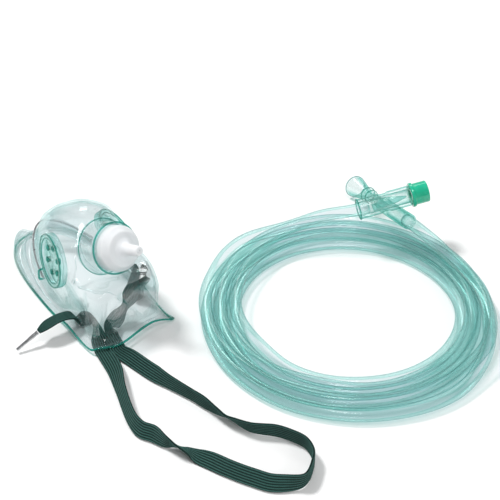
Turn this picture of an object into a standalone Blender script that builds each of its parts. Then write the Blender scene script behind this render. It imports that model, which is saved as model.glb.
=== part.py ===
"""Oxygen face mask set at rest on a table: soft clear face piece, nose clip, port cap, head strap and hose."""

import math

import bmesh
import bpy
import numpy as np
from mathutils import Matrix, Vector

# Gap that pieces keep to each other
GAP = 0.0003

# Face piece: one clear moulding, face side down, nose toward +Y and chin toward -Y
WALL = 0.0011
SHELL_SIDES = 56
ROWS_PER_SECTION = 2

# Each section is one level line of the outside, from the rim edge up to the crown:
# half width, reach to nose, reach to chin, level of the widest point along Y,
# squareness of the nose end, squareness of the chin end, height at side, at nose, at chin
SECTIONS = (
    (0.0226, 0.0475, -0.0475, -0.0125, 2.9, 9.0, 0.0011, 0.0025, 0.0045),
    (0.0217, 0.0460, -0.0466, -0.0125, 2.9, 8.0, 0.0013, 0.0070, 0.0046),
    (0.0207, 0.0430, -0.0459, -0.0125, 2.8, 7.5, 0.0014, 0.0060, 0.0047),
    (0.0199, 0.0410, -0.0453, -0.0125, 2.6, 7.0, 0.0016, 0.0095, 0.0050),
    (0.0190, 0.0388, -0.0449, -0.0120, 2.2, 6.5, 0.0024, 0.0100, 0.0054),
    (0.0186, 0.0375, -0.0450, -0.0115, 1.8, 7.0, 0.0065, 0.0130, 0.0090),
    (0.0190, 0.0330, -0.0455, -0.0105, 1.7, 7.0, 0.0130, 0.0180, 0.0155),
    (0.0193, 0.0275, -0.0455, -0.0090, 1.75, 6.5, 0.0200, 0.0240, 0.0228),
    (0.0192, 0.0235, -0.0438, -0.0075, 1.8, 5.2, 0.0258, 0.0285, 0.0284),
    (0.0188, 0.0200, -0.0350, -0.0060, 1.9, 3.4, 0.0305, 0.0330, 0.0290),
    (0.0183, 0.0160, -0.0275, -0.0050, 2.0, 2.8, 0.0360, 0.0375, 0.0345),
    (0.0158, 0.0100, -0.0198, -0.0045, 2.0, 2.2, 0.0417, 0.0425, 0.0412),
    (0.0095, 0.0035, -0.0123, -0.0045, 2.0, 2.0, 0.0460, 0.0461, 0.0458),
    (0.0020, -0.0025, -0.0065, -0.0045, 2.0, 2.0, 0.0478, 0.0478, 0.0478),
)

# How late a level line climbs from its side height to its end height
NOSE_CLIMB = 2.2
CHIN_CLIMB = 1.1

# Ears: strap slots in the flange, which rises over the strap below and cuts in under the cheek
EAR_Y = -0.0245
EAR_X = 0.0174
EAR_LIFT = 0.0024
EAR_LIFT_TOP = 0.0120
EAR_CUT_IN = 0.0038
EAR_CUT_IN_SHARES = (0, 0.05, 0.25, 0.6, 0.95, 1, 0.7, 0.25)
EAR_SPREAD = 0.0085
SLOT_LENGTH = 0.0088
SLOT_WIDTH = 0.0018

# Crown: the ball that the dome follows, which the port is set out from
CROWN_CENTRE = Vector((0.0, -0.0045, 0.0272))

# Port: a short neck on the chin side of the dome, turned a little as the soft shell lies
PORT_TURN = math.radians(9)
PORT_RISE = math.radians(24.5)
PORT_ROOT = 0.0138
PORT_WALL = 0.0013
PORT_BASE = 0.0150
PORT_FLARE = 0.0210
PORT_FRONT = 0.0278

# Port cap: a milky socket that plugs into the neck and carries a hose nipple
CAP_OUTER = 0.0104
CAP_WALL = 0.0013
CAP_SEAT = 0.0235
CAP_SHOULDER = 0.0318
CAP_FACE = 0.0348
CAP_FACE_RADIUS = 0.0081
CAP_TIP = 0.0470
NIPPLE_OUTER = 0.0020
NIPPLE_BORE = 0.0011

# Vents: a raised ring with a holed plate on each cheek of the dome
VENT_CENTRE = Vector((0.0184, -0.0075, 0.0275))
VENT_TURN = math.radians(11)
VENT_RISE = math.radians(6)
VENT_OUTER = 0.0129
VENT_RING = 0.0021
VENT_PROUD = 0.0014
VENT_PLATE = 0.0011
VENT_SKIRT = 0.0040
VENT_SKIRT_WALL = 0.0012
VENT_HOLE = 0.0015
VENT_HOLE_CIRCLE = 0.0064
VENT_HOLE_COUNT = 6

# Nose clip: a soft metal strip that follows the wall, held by a keeper near each end
CLIP_ROW = 5.3
CLIP_ROW_SPAN = 0.55
CLIP_THICK = 0.0008
CLIP_REACH = 13
KEEPER_REACH = 11
KEEPER_WIRE = 0.0006

# Strap: a flat elastic band, on edge where it bends, with a metal tip crimped on each end
STRAP_WIDTH = 0.0075
STRAP_THICK = 0.0010
TIP_LENGTH = 0.0122
TIP_RADIUS = 0.0010

# Each row of the route in millimetres: a point, and the way the strap's width runs there
STRAP_ROUTE = (
    (-36.6, -24.5, 6.6, 0.0, 1.0, 0.0),
    (-31.6, -24.5, 9.0, 0.0, 1.0, 0.0),
    (-25.4, -24.5, 10.8, 0.0, 1.0, 0.0),
    (-19.6, -24.5, 8.8, 0.0, 1.0, 0.0),
    (-17.5, -24.5, 5.0, 0.0, 1.0, 0.0),
    (-17.3, -24.5, 2.8, 0.0, 1.0, 0.0),
    (-16.0, -24.5, 1.2, 0.0, 1.0, 0.0),
    (-12.8, -24.4, 1.9, -0.1, 0.9, 0.2),
    (-9.8, -25.4, 4.2, -0.2, 0.6, 0.8),
    (-8.6, -29.0, 5.4, 0.0, 0.1, 1.0),
    (-10.2, -35.0, 5.0, 0.1, 0.0, 1.0),
    (-13.2, -40.0, 2.4, 0.8, -0.4, 0.3),
    (-15.6, -44.0, 1.0, 0.9, -0.4, 0.0),
    (-17.0, -48.0, 0.85, 0.9, -0.4, 0.0),
    (-18.8, -53.0, 2.7, 0.8, -0.3, 0.3),
    (-20.4, -60.0, 4.3, 0.2, 0.0, 1.0),
    (-22.8, -72.0, 4.3, 0.0, 0.0, 1.0),
    (-26.6, -83.0, 4.3, 0.0, 0.0, 1.0),
    (-30.4, -92.5, 4.3, 0.0, 0.0, 1.0),
    (-30.8, -102.0, 4.3, 0.0, 0.0, 1.0),
    (-27.4, -110.5, 4.3, 0.0, 0.0, 1.0),
    (-23.2, -119.0, 4.3, 0.0, 0.0, 1.0),
    (-18.9, -128.2, 4.3, 0.0, 0.0, 1.0),
    (-12.4, -139.0, 4.3, 0.0, 0.0, 1.0),
    (-5.0, -150.4, 4.3, 0.0, 0.0, 1.0),
    (2.6, -159.4, 4.3, 0.0, 0.0, 1.0),
    (10.4, -161.0, 4.3, 0.0, 0.0, 1.0),
    (17.0, -155.6, 4.3, 0.0, 0.0, 1.0),
    (19.6, -146.4, 4.3, 0.0, 0.0, 1.0),
    (16.8, -137.2, 4.3, 0.0, 0.0, 1.0),
    (11.0, -130.2, 4.3, 0.0, 0.0, 1.0),
    (5.6, -124.2, 4.3, 0.0, 0.0, 1.0),
    (1.6, -116.2, 4.3, 0.0, 0.0, 1.0),
    (-1.0, -107.0, 4.3, 0.0, 0.0, 1.0),
    (-3.2, -97.0, 4.3, 0.0, 0.0, 1.0),
    (-6.0, -86.5, 4.2, 0.2, 0.0, 1.0),
    (-8.4, -77.5, 4.0, 0.4, 0.0, 1.0),
    (-10.4, -66.0, 3.6, 0.7, -0.1, 0.8),
    (-11.6, -56.0, 2.5, 0.9, -0.1, 0.2),
    (-11.4, -50.0, 1.95, 1.0, 0.0, 0.0),
    (-10.6, -46.0, 1.95, 1.0, 0.0, 0.0),
    (-9.0, -42.6, 2.2, 1.0, -0.2, 0.1),
    (-5.2, -39.0, 4.4, 0.9, -0.3, 0.4),
    (0.0, -35.0, 8.8, 0.6, -0.5, 0.7),
    (5.4, -31.6, 13.6, 0.2, -0.6, 0.8),
    (9.8, -29.0, 16.2, 0.1, -0.8, 0.6),
    (12.2, -26.8, 14.4, 0.0, -1.0, 0.2),
    (11.8, -24.8, 8.0, 0.0, -1.0, 0.0),
    (12.2, -24.5, 3.2, 0.0, -1.0, 0.0),
    (14.0, -24.5, 1.2, 0.0, -1.0, 0.0),
    (16.2, -24.5, 1.3, 0.0, -1.0, 0.0),
    (17.3, -24.5, 2.8, 0.0, -1.0, 0.0),
    (17.5, -24.5, 5.0, 0.0, -1.0, 0.0),
    (18.4, -24.4, 7.4, 0.1, -1.0, 0.1),
    (20.6, -23.2, 8.6, 0.4, -0.8, -0.2),
    (22.2, -19.6, 8.0, 0.4, -0.3, -0.8),
    (22.0, -15.0, 7.0, 0.1, 0.0, -1.0),
    (21.6, -9.0, 6.6, 0.0, 0.0, -1.0),
)
STRAP_POINTS = 150

# Hose: a coil of clear tube with a connector on each end
HOSE_RADIUS = 0.0030
COIL_CENTRE = Vector((0.0856, -0.0957, 0.0))
COIL_OUTER = 0.0684
COIL_INNER = 0.0480
COIL_HEIGHT = 0.0116
COIL_FLOOR = 0.0002
COIL_ROUND = 0.0036
TUBE_CLEAR = 0.0005
TAIL_A_ROUTE = (
    (129.3, -60.2, 23.7),
    (124.3, -57.9, 22.8),
    (118.9, -54.8, 21.2),
    (111.5, -50.4, 18.7),
    (102.8, -46.2, 16.6),
    (92.8, -42.6, 15.2),
    (80.3, -41.0, 15.2),
)
TAIL_B_ROUTE = (
    (141.5, -74.2, 18.6),
    (140.2, -80.2, 20.2),
    (140.6, -88.0, 19.2),
    (141.6, -97.0, 16.6),
    (141.7, -106.0, 15.2),
    (139.4, -115.8, 15.2),
    (132.1, -125.2, 15.2),
)
TAIL_POINTS = 20

# Connector A: a clear sleeve on one tail and a green socket that closes it
SLEEVE_START = Vector((0.1243, -0.0579, 0.0228))
SLEEVE_AXIS = Vector((0.895, -0.412, 0.169))
SLEEVE_OUTER = 0.0050
SLEEVE_LENGTH = 0.0265
SOCKET_OUTER = 0.0054
SOCKET_RING = 0.0061
SOCKET_RING_LENGTH = 0.0016
SOCKET_LENGTH = 0.0086
SOCKET_BORE = 0.0029

# Connector B: a clear funnel with a ribbed neck on the other tail
FUNNEL_MOUTH_CENTRE = Vector((0.1523, -0.0250, 0.0056))
FUNNEL_END_CENTRE = Vector((0.1402, -0.0802, 0.0202))
FUNNEL_MOUTH = 0.0053
FUNNEL_MOUTH_BORE = 0.0043
FUNNEL_NECK = 0.0030
FUNNEL_NECK_BORE = 0.0020
FUNNEL_RIB = 0.0038
FUNNEL_BODY = 0.0041
FUNNEL_SOCKET_DEPTH = 0.0150
FUNNEL_CONE = 0.0200
FUNNEL_TUBE_DEPTH = 0.0120

SHELL_COLOUR = (0.62, 0.86, 0.82, 1.0)
CAP_COLOUR = (0.86, 0.88, 0.88, 1.0)
CLIP_COLOUR = (0.80, 0.81, 0.82, 1.0)
STRAP_COLOUR = (0.03, 0.11, 0.09, 1.0)
HOSE_COLOUR = (0.42, 0.76, 0.70, 1.0)
SOCKET_COLOUR = (0.02, 0.42, 0.27, 1.0)
CLEAR_COLOUR = (0.78, 0.90, 0.88, 1.0)


def clear_scene():
    for old in list(bpy.data.objects):
        bpy.data.objects.remove(old, do_unlink=True)


def make_collection(name):
    made = bpy.data.collections.new(name)
    bpy.context.scene.collection.children.link(made)
    return made


def make_material(name, colour, roughness, metallic=0.0):
    made = bpy.data.materials.new(name)
    made.use_nodes = True
    shader = made.node_tree.nodes["Principled BSDF"]
    shader.inputs["Base Color"].default_value = colour
    shader.inputs["Roughness"].default_value = roughness
    shader.inputs["Metallic"].default_value = metallic
    made.diffuse_color = colour
    return made


def add_object(name, data, collection, material=None):
    made = bpy.data.objects.new(name, data)
    collection.objects.link(made)
    if material:
        data.materials.append(material)
    if collection == shaping:
        made.hide_render = True
        made.display_type = "WIRE"
    return made


def smooth(target):
    target.data.shade_smooth()
    target.data.set_sharp_from_angle(angle=math.radians(35))


def section_ring(index, sides):
    """Points of one level line, counted round from the +X side through the nose."""
    section = SECTIONS[index]
    half_width, nose, chin, middle, nose_power, chin_power, side_z, nose_z, chin_z = section
    turn = np.arange(sides) * 2 * math.pi / sides
    across = np.cos(turn)
    along = np.sin(turn)
    to_nose = along >= 0
    reach = np.where(to_nose, nose - middle, middle - chin)
    power = np.where(to_nose, nose_power, chin_power)
    size = (np.abs(across) ** power + np.abs(along) ** power) ** (-1 / power)
    end_z = np.where(to_nose, nose_z, chin_z)
    climb = np.where(to_nose, NOSE_CLIMB, CHIN_CLIMB)
    height = side_z + (end_z - side_z) * np.abs(along) ** climb
    level = middle + reach * along * size
    low = np.clip(1 - height / EAR_LIFT_TOP, 0, 1)
    near_ear = np.exp(-(((level - EAR_Y) / EAR_SPREAD) ** 2)) * np.abs(across) ** 0.5
    cut_share = EAR_CUT_IN_SHARES[index] if index < len(EAR_CUT_IN_SHARES) else 0
    side = half_width * across * size - np.sign(across) * EAR_CUT_IN * cut_share * near_ear
    return np.stack([side, level, height + EAR_LIFT * low * near_ear], 1)


def blend(before, start, end, after, t):
    """Point at share t of the smooth run from start to end, with its outer neighbours."""
    return 0.5 * (
        2 * start
        + (end - before) * t
        + (2 * before - 5 * start + 4 * end - after) * t**2
        + (3 * start - before - 3 * end + after) * t**3
    )


def at_position(rows, position):
    """The row at a fractional index of a list of rows."""
    last = len(rows) - 1
    index = min(int(position), last - 1)
    before = rows[max(index - 1, 0)]
    after = rows[min(index + 2, last)]
    return blend(before, rows[index], rows[index + 1], after, position - index)


def through_points(rows, steps):
    """A smooth run through the given rows, with this many steps between neighbours."""
    count = (len(rows) - 1) * steps
    return np.array([at_position(rows, index / steps) for index in range(count + 1)])


def smooth_route(points, count):
    """Evenly spaced points on a smooth curve through the route's own points."""
    route = np.array(points, dtype=float)
    fine = through_points(route, 24)
    run = np.concatenate([[0], np.cumsum(np.linalg.norm(np.diff(fine, axis=0), axis=1))])
    even = np.linspace(0, run[-1], count)
    return np.stack([np.interp(even, run, fine[:, axis]) for axis in range(route.shape[1])], 1)


def grid_mesh(name, rows, ring=False, cap_last=False):
    """Quads between neighbouring rows, closed round if they are rings."""
    built = bmesh.new()
    lines = [[built.verts.new(point) for point in row] for row in rows]
    sides = len(rows[0])
    for lower, upper in zip(lines, lines[1:]):
        for index in range(sides if ring else sides - 1):
            following = (index + 1) % sides
            built.faces.new((lower[index], lower[following], upper[following], upper[index]))
    if cap_last:
        built.faces.new(lines[-1])
    made = bpy.data.meshes.new(name)
    built.to_mesh(made)
    built.free()
    return made


def solidify(target, thickness, offset):
    skin = target.modifiers.new("wall", "SOLIDIFY")
    skin.thickness = thickness
    skin.offset = offset
    skin.use_even_offset = True


def turned(name, profile, sides, collection, material=None, closed=True):
    """A profile of (radius, height) pairs turned about local Z, outer side running down."""
    built = bmesh.new()
    line = [built.verts.new((radius, 0, height)) for radius, height in profile]
    for start, end in zip(line, line[1:]):
        built.edges.new((start, end))
    if closed:
        built.edges.new((line[-1], line[0]))
    mesh = bpy.data.meshes.new(name)
    built.to_mesh(mesh)
    built.free()
    made = add_object(name, mesh, collection, material)
    screw = made.modifiers.new("turn", "SCREW")
    screw.angle = 2 * math.pi
    screw.steps = sides
    screw.render_steps = sides
    screw.use_merge_vertices = True
    screw.merge_threshold = 0.00001
    screw.use_smooth_shade = True
    return made


def along_axis(target, origin, direction):
    """Stands an object's local Z on the direction from the origin, with local Y kept level-most."""
    z = Vector(direction).normalized()
    x = Vector((0, 0, 1)).cross(z)
    x = x.normalized() if x.length > 0.001 else Vector((1, 0, 0))
    y = z.cross(x)
    target.matrix_world = Matrix.Translation(origin) @ Matrix((x, y, z)).transposed().to_4x4()


def boolean(target, other, operation):
    made = target.modifiers.new(other.name, "BOOLEAN")
    made.operation = operation
    made.object = other


def block(name, size, collection):
    built = bmesh.new()
    bmesh.ops.create_cube(built, size=1)
    bmesh.ops.scale(built, verts=built.verts, vec=size)
    mesh = bpy.data.meshes.new(name)
    built.to_mesh(mesh)
    built.free()
    return add_object(name, mesh, collection)


def wire(name, points, radius, resolution, collection, material=None):
    """A round bar along a run of points, with flat ends."""
    data = bpy.data.curves.new(name, "CURVE")
    data.dimensions = "3D"
    data.bevel_depth = radius
    data.bevel_resolution = resolution
    data.use_fill_caps = True
    spline = data.splines.new("POLY")
    spline.points.add(len(points) - 1)
    for target, point in zip(spline.points, points):
        target.co = (*point, 1)
    return add_object(name, data, collection, material)


def made_mesh(target, collection):
    """The same shape as one closed mesh object, for cutting and joining."""
    bpy.context.view_layer.update()
    graph = bpy.context.evaluated_depsgraph_get()
    mesh = bpy.data.meshes.new_from_object(target.evaluated_get(graph))
    welded = bmesh.new()
    welded.from_mesh(mesh)
    bmesh.ops.remove_doubles(welded, verts=welded.verts, dist=0.00001)
    bmesh.ops.triangulate(welded, faces=welded.faces)
    bmesh.ops.recalc_face_normals(welded, faces=welded.faces)
    welded.to_mesh(mesh)
    welded.free()
    name = target.name
    matrix = target.matrix_world.copy()
    bpy.data.objects.remove(target, do_unlink=True)
    made = add_object(name, mesh, collection)
    made.matrix_world = matrix
    return made


def outward_normals(rows):
    """Unit normals of a grid of points whose rows run round from +X and climb."""
    around = np.gradient(rows, axis=1)
    up = np.gradient(rows, axis=0)
    normal = np.cross(around, up)
    return normal / np.linalg.norm(normal, axis=2, keepdims=True)


clear_scene()
parts = make_collection("oxygen_face_mask")
shaping = make_collection("shaping")
shell_material = make_material("clear_green_vinyl", SHELL_COLOUR, 0.12)
cap_material = make_material("milky_polythene", CAP_COLOUR, 0.35)
clip_material = make_material("bare_aluminium", CLIP_COLOUR, 0.3, 1.0)
strap_material = make_material("green_elastic", STRAP_COLOUR, 0.85)
hose_material = make_material("clear_hose", HOSE_COLOUR, 0.12)
socket_material = make_material("green_socket", SOCKET_COLOUR, 0.35)
clear_material = make_material("clear_connector", CLEAR_COLOUR, 0.12)

# Face piece wall
level_lines = np.array([section_ring(index, SHELL_SIDES) for index in range(len(SECTIONS))])
shell_rows = through_points(level_lines, ROWS_PER_SECTION)
shell = add_object(
    "facepiece_shell",
    grid_mesh("facepiece_shell", shell_rows, ring=True, cap_last=True),
    parts,
    shell_material,
)
solidify(shell, WALL, -1)
shell.modifiers.new("facets", "TRIANGULATE")

# Port neck, flared at its root, and the bore that opens the dome behind it
port_axis = Vector(
    (
        math.sin(PORT_TURN) * math.cos(PORT_RISE),
        -math.cos(PORT_TURN) * math.cos(PORT_RISE),
        math.sin(PORT_RISE),
    )
)
port_bore = CAP_OUTER + GAP
port_lip = port_bore + PORT_WALL
port_neck = turned(
    "port_neck",
    (
        (0, PORT_FRONT),
        (port_lip - 0.0004, PORT_FRONT),
        (port_lip, PORT_FRONT - 0.0004),
        (port_lip, PORT_FLARE),
        (port_lip + 0.25 * (PORT_ROOT - port_lip), PORT_FLARE - 0.0014),
        (PORT_ROOT, PORT_FLARE - 0.0028),
        (PORT_ROOT, PORT_BASE),
        (0, PORT_BASE),
    ),
    40,
    shaping,
    closed=False,
)
port_bore_cutter = turned(
    "port_bore",
    (
        (0, PORT_FRONT + WALL),
        (port_bore, PORT_FRONT + WALL),
        (port_bore, PORT_BASE - 4 * WALL),
        (0, PORT_BASE - 4 * WALL),
    ),
    40,
    shaping,
    closed=False,
)
for made in (port_bore_cutter, port_neck):
    along_axis(made, CROWN_CENTRE, port_axis)

# Vent rings and plates, one on each cheek
for side, label in ((-1, "near"), (1, "far")):
    vent_axis = Vector(
        (
            side * math.cos(VENT_TURN) * math.cos(VENT_RISE),
            math.sin(VENT_TURN) * math.cos(VENT_RISE),
            math.sin(VENT_RISE),
        )
    )
    vent_centre = Vector((side * VENT_CENTRE.x, VENT_CENTRE.y, VENT_CENTRE.z))
    window_radius = VENT_OUTER - VENT_SKIRT_WALL / 2
    window = turned(
        "vent_window_" + label,
        (
            (0, VENT_SKIRT + WALL),
            (window_radius, VENT_SKIRT + WALL),
            (window_radius, -VENT_SKIRT - WALL),
            (0, -VENT_SKIRT - WALL),
        ),
        32,
        shaping,
        closed=False,
    )
    ring = turned(
        "vent_ring_" + label,
        (
            (0, 0),
            (VENT_OUTER - VENT_RING - 0.0004, 0),
            (VENT_OUTER - VENT_RING, VENT_PROUD),
            (VENT_OUTER - 0.0005, VENT_PROUD),
            (VENT_OUTER, VENT_PROUD - 0.0005),
            (VENT_OUTER, -VENT_SKIRT),
            (VENT_OUTER - VENT_SKIRT_WALL, -VENT_SKIRT),
            (VENT_OUTER - VENT_SKIRT_WALL, -VENT_PLATE),
            (0, -VENT_PLATE),
        ),
        32,
        shaping,
        closed=False,
    )
    holes = bmesh.new()
    for index in range(VENT_HOLE_COUNT):
        turn = 2 * math.pi * (index + 0.5) / VENT_HOLE_COUNT
        bmesh.ops.create_cone(
            holes,
            cap_ends=True,
            segments=12,
            radius1=VENT_HOLE,
            radius2=VENT_HOLE,
            depth=4 * VENT_PLATE,
            matrix=Matrix.Translation(
                (VENT_HOLE_CIRCLE * math.cos(turn), VENT_HOLE_CIRCLE * math.sin(turn), 0)
            ),
        )
    hole_mesh = bpy.data.meshes.new("vent_holes_" + label)
    holes.to_mesh(hole_mesh)
    holes.free()
    hole_cutter = add_object("vent_holes_" + label, hole_mesh, shaping)
    for made in (window, ring, hole_cutter):
        along_axis(made, vent_centre, vent_axis)
    boolean(ring, hole_cutter, "DIFFERENCE")
    boolean(shell, window, "DIFFERENCE")
    boolean(shell, made_mesh(ring, shaping), "UNION")
    slot = block("ear_slot_" + label, (SLOT_WIDTH, SLOT_LENGTH, 12 * WALL), shaping)
    slot.location = (side * EAR_X, EAR_Y, 0.003)
    boolean(shell, slot, "DIFFERENCE")
boolean(shell, port_neck, "UNION")
boolean(shell, port_bore_cutter, "DIFFERENCE")

# Nose clip: the wall's own surface over its reach, lifted off by the gap and thickened
nose_column = SHELL_SIDES // 4
clip_columns = range(nose_column - CLIP_REACH, nose_column + CLIP_REACH + 1)
clip_lines = np.array(
    [at_position(level_lines, CLIP_ROW + CLIP_ROW_SPAN * step / 4) for step in range(5)]
)
clip_normals = outward_normals(clip_lines)
clip_base = (clip_lines + clip_normals * GAP)[:, clip_columns]
clip = add_object("nose_clip", grid_mesh("nose_clip", clip_base), parts, clip_material)
solidify(clip, CLIP_THICK, 1)

# Keepers: a wire staple over each end of the clip, moulded on the wall
for side, label in ((1, "far"), (-1, "near")):
    column = nose_column - side * KEEPER_REACH
    low = at_position(level_lines, CLIP_ROW - 0.22)[column]
    high = at_position(level_lines, CLIP_ROW + CLIP_ROW_SPAN + 0.22)[column]
    outward = clip_normals[2, column]
    rise = 2 * GAP + CLIP_THICK + KEEPER_WIRE
    shape = ((0.0, -WALL / 2), (0.0, rise * 0.6), (0.12, rise), (0.88, rise), (1.0, rise * 0.6))
    staple = [low + (high - low) * share + outward * lift for share, lift in shape]
    staple.append(high - outward * WALL / 2)
    keeper = wire("keeper_" + label, staple, KEEPER_WIRE, 1, shaping)
    boolean(shell, made_mesh(keeper, shaping), "UNION")

# Port cap, hollow, with its nipple on the port's own axis
cap = turned(
    "port_cap",
    (
        (NIPPLE_BORE, CAP_TIP),
        (NIPPLE_OUTER - 0.0004, CAP_TIP),
        (NIPPLE_OUTER, CAP_TIP - 0.0010),
        (NIPPLE_OUTER, CAP_FACE + 0.0012),
        (NIPPLE_OUTER + 0.0007, CAP_FACE + 0.0003),
        (NIPPLE_OUTER + 0.0020, CAP_FACE),
        (CAP_FACE_RADIUS, CAP_FACE),
        (CAP_OUTER - 0.0010, CAP_SHOULDER + 0.0010),
        (CAP_OUTER, CAP_SHOULDER),
        (CAP_OUTER, CAP_SEAT),
        (CAP_OUTER - CAP_WALL, CAP_SEAT),
        (CAP_OUTER - CAP_WALL, CAP_SHOULDER - 0.0004),
        (CAP_FACE_RADIUS - 0.0006, CAP_FACE - CAP_WALL - 0.0004),
        (NIPPLE_BORE, CAP_FACE - CAP_WALL),
    ),
    40,
    parts,
    cap_material,
)
along_axis(cap, CROWN_CENTRE, port_axis)


# Strap: a ribbon on its route, thickened
strap_rows = smooth_route(STRAP_ROUTE, STRAP_POINTS)
strap_path = strap_rows[:, :3] / 1000
strap_run = np.gradient(strap_path, axis=0)
strap_run /= np.linalg.norm(strap_run, axis=1, keepdims=True)
strap_across = strap_rows[:, 3:]
strap_across = strap_across - (strap_across * strap_run).sum(1, keepdims=True) * strap_run
strap_across /= np.linalg.norm(strap_across, axis=1, keepdims=True)
strap_edges = [strap_path + strap_across * STRAP_WIDTH * share for share in (-0.5, 0.5)]
strap = add_object("head_strap", grid_mesh("head_strap", strap_edges), parts, strap_material)
solidify(strap, STRAP_THICK, 0)

# Metal tips, each in line with its end of the strap
for end, label in ((0, "near"), (-1, "far")):
    away = strap_path[end] - strap_path[1 if end == 0 else -2]
    away = Vector(away).normalized()
    start = Vector(strap_path[end]) + away * GAP
    tip = turned(
        "strap_tip_" + label,
        (
            (0, TIP_LENGTH),
            (TIP_RADIUS * 0.8, TIP_LENGTH),
            (TIP_RADIUS, TIP_LENGTH - 0.0004),
            (TIP_RADIUS, 0),
            (0, 0),
        ),
        12,
        parts,
        clip_material,
        closed=False,
    )
    along_axis(tip, start, away)

# Hose coil: the outer shape of the wound turns
coil = turned(
    "hose_coil",
    (
        (COIL_INNER + COIL_ROUND, COIL_HEIGHT),
        (COIL_OUTER - COIL_ROUND, COIL_HEIGHT),
        (COIL_OUTER, COIL_HEIGHT - COIL_ROUND),
        (COIL_OUTER, COIL_FLOOR + COIL_ROUND),
        (COIL_OUTER - COIL_ROUND, COIL_FLOOR),
        (COIL_INNER + COIL_ROUND, COIL_FLOOR),
        (COIL_INNER, COIL_FLOOR + COIL_ROUND),
        (COIL_INNER, COIL_HEIGHT - COIL_ROUND),
    ),
    64,
    parts,
    hose_material,
)
coil.location = COIL_CENTRE

# Hose tails, from the top of the coil into the two connectors
for name, route in (("hose_tail_a", TAIL_A_ROUTE), ("hose_tail_b", TAIL_B_ROUTE)):
    wire(name, smooth_route(route, TAIL_POINTS) / 1000, HOSE_RADIUS, 2, parts, hose_material)

# Connector A
tube_bore = HOSE_RADIUS + TUBE_CLEAR
sleeve = turned(
    "connector_sleeve",
    (
        (tube_bore, SLEEVE_LENGTH),
        (SLEEVE_OUTER, SLEEVE_LENGTH),
        (SLEEVE_OUTER, 0),
        (tube_bore, 0),
    ),
    24,
    parts,
    clear_material,
)
along_axis(sleeve, SLEEVE_START, SLEEVE_AXIS)
socket = turned(
    "connector_socket",
    (
        (SOCKET_BORE, SOCKET_LENGTH),
        (SOCKET_OUTER - 0.0003, SOCKET_LENGTH),
        (SOCKET_OUTER, SOCKET_LENGTH - 0.0006),
        (SOCKET_OUTER, SOCKET_RING_LENGTH),
        (SOCKET_RING, SOCKET_RING_LENGTH),
        (SOCKET_RING, 0),
        (SOCKET_BORE, 0),
    ),
    24,
    parts,
    socket_material,
)
socket_start = SLEEVE_START + SLEEVE_AXIS.normalized() * (SLEEVE_LENGTH + GAP)
along_axis(socket, socket_start, SLEEVE_AXIS)

# Connector B, heights counted from the tube end up to the mouth
funnel_axis = FUNNEL_MOUTH_CENTRE - FUNNEL_END_CENTRE
funnel_length = funnel_axis.length
cone_start = funnel_length - FUNNEL_CONE
funnel = turned(
    "connector_funnel",
    (
        (FUNNEL_MOUTH_BORE, funnel_length),
        (FUNNEL_MOUTH, funnel_length),
        (FUNNEL_MOUTH - 0.0005, funnel_length - FUNNEL_SOCKET_DEPTH),
        (FUNNEL_NECK, cone_start),
        (FUNNEL_NECK, cone_start - 0.0012),
        (FUNNEL_RIB, cone_start - 0.0014),
        (FUNNEL_RIB, cone_start - 0.0026),
        (FUNNEL_NECK, cone_start - 0.0028),
        (FUNNEL_NECK, cone_start - 0.0042),
        (FUNNEL_BODY, cone_start - 0.0056),
        (FUNNEL_BODY, 0),
        (tube_bore, 0),
        (tube_bore, FUNNEL_TUBE_DEPTH),
        (FUNNEL_NECK_BORE, FUNNEL_TUBE_DEPTH + 0.0010),
        (FUNNEL_NECK_BORE, cone_start),
        (FUNNEL_MOUTH_BORE - 0.0004, funnel_length - FUNNEL_SOCKET_DEPTH),
    ),
    24,
    parts,
    clear_material,
)
along_axis(funnel, FUNNEL_END_CENTRE, funnel_axis)

# Every piece but the face piece is fixed as a mesh, so that its round faces shade smooth
for made in list(parts.objects):
    if made != shell:
        smooth(made_mesh(made, parts))
smooth(shell)
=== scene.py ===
import math

import bpy
import numpy as np
from mathutils import Matrix


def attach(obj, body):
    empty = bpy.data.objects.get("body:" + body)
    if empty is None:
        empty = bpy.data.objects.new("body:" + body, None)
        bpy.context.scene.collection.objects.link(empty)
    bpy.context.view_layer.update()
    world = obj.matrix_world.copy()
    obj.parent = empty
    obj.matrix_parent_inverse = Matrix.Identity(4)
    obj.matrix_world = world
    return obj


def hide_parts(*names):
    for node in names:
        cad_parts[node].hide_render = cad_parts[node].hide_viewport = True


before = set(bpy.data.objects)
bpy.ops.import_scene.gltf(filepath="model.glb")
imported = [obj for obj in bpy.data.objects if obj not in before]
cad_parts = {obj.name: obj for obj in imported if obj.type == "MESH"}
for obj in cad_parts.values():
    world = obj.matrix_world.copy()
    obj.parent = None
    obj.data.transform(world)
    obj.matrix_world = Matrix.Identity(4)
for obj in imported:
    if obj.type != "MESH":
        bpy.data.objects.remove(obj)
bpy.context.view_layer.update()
print("frame loaded")


def linkNew(name, data):
    # a new object in the scene that holds the data
    obj = bpy.data.objects.new(name, data)
    bpy.context.scene.collection.objects.link(obj)
    return obj


def placeFrame(obj, x, y, z, spot):
    # the object's own axes lie along x, y and z, and its origin is at the spot
    obj.matrix_world = Matrix([[x[i], y[i], z[i], spot[i]] for i in range(3)] + [[0, 0, 0, 1]])


def raisedWay(turn, rise):
    # the unit direction that starts along -Y, turns towards +X and then rises, in degrees
    turn, rise = math.radians(turn), math.radians(rise)
    return np.array([math.sin(turn) * math.cos(rise), -math.cos(turn) * math.cos(rise), math.sin(rise)])


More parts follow.
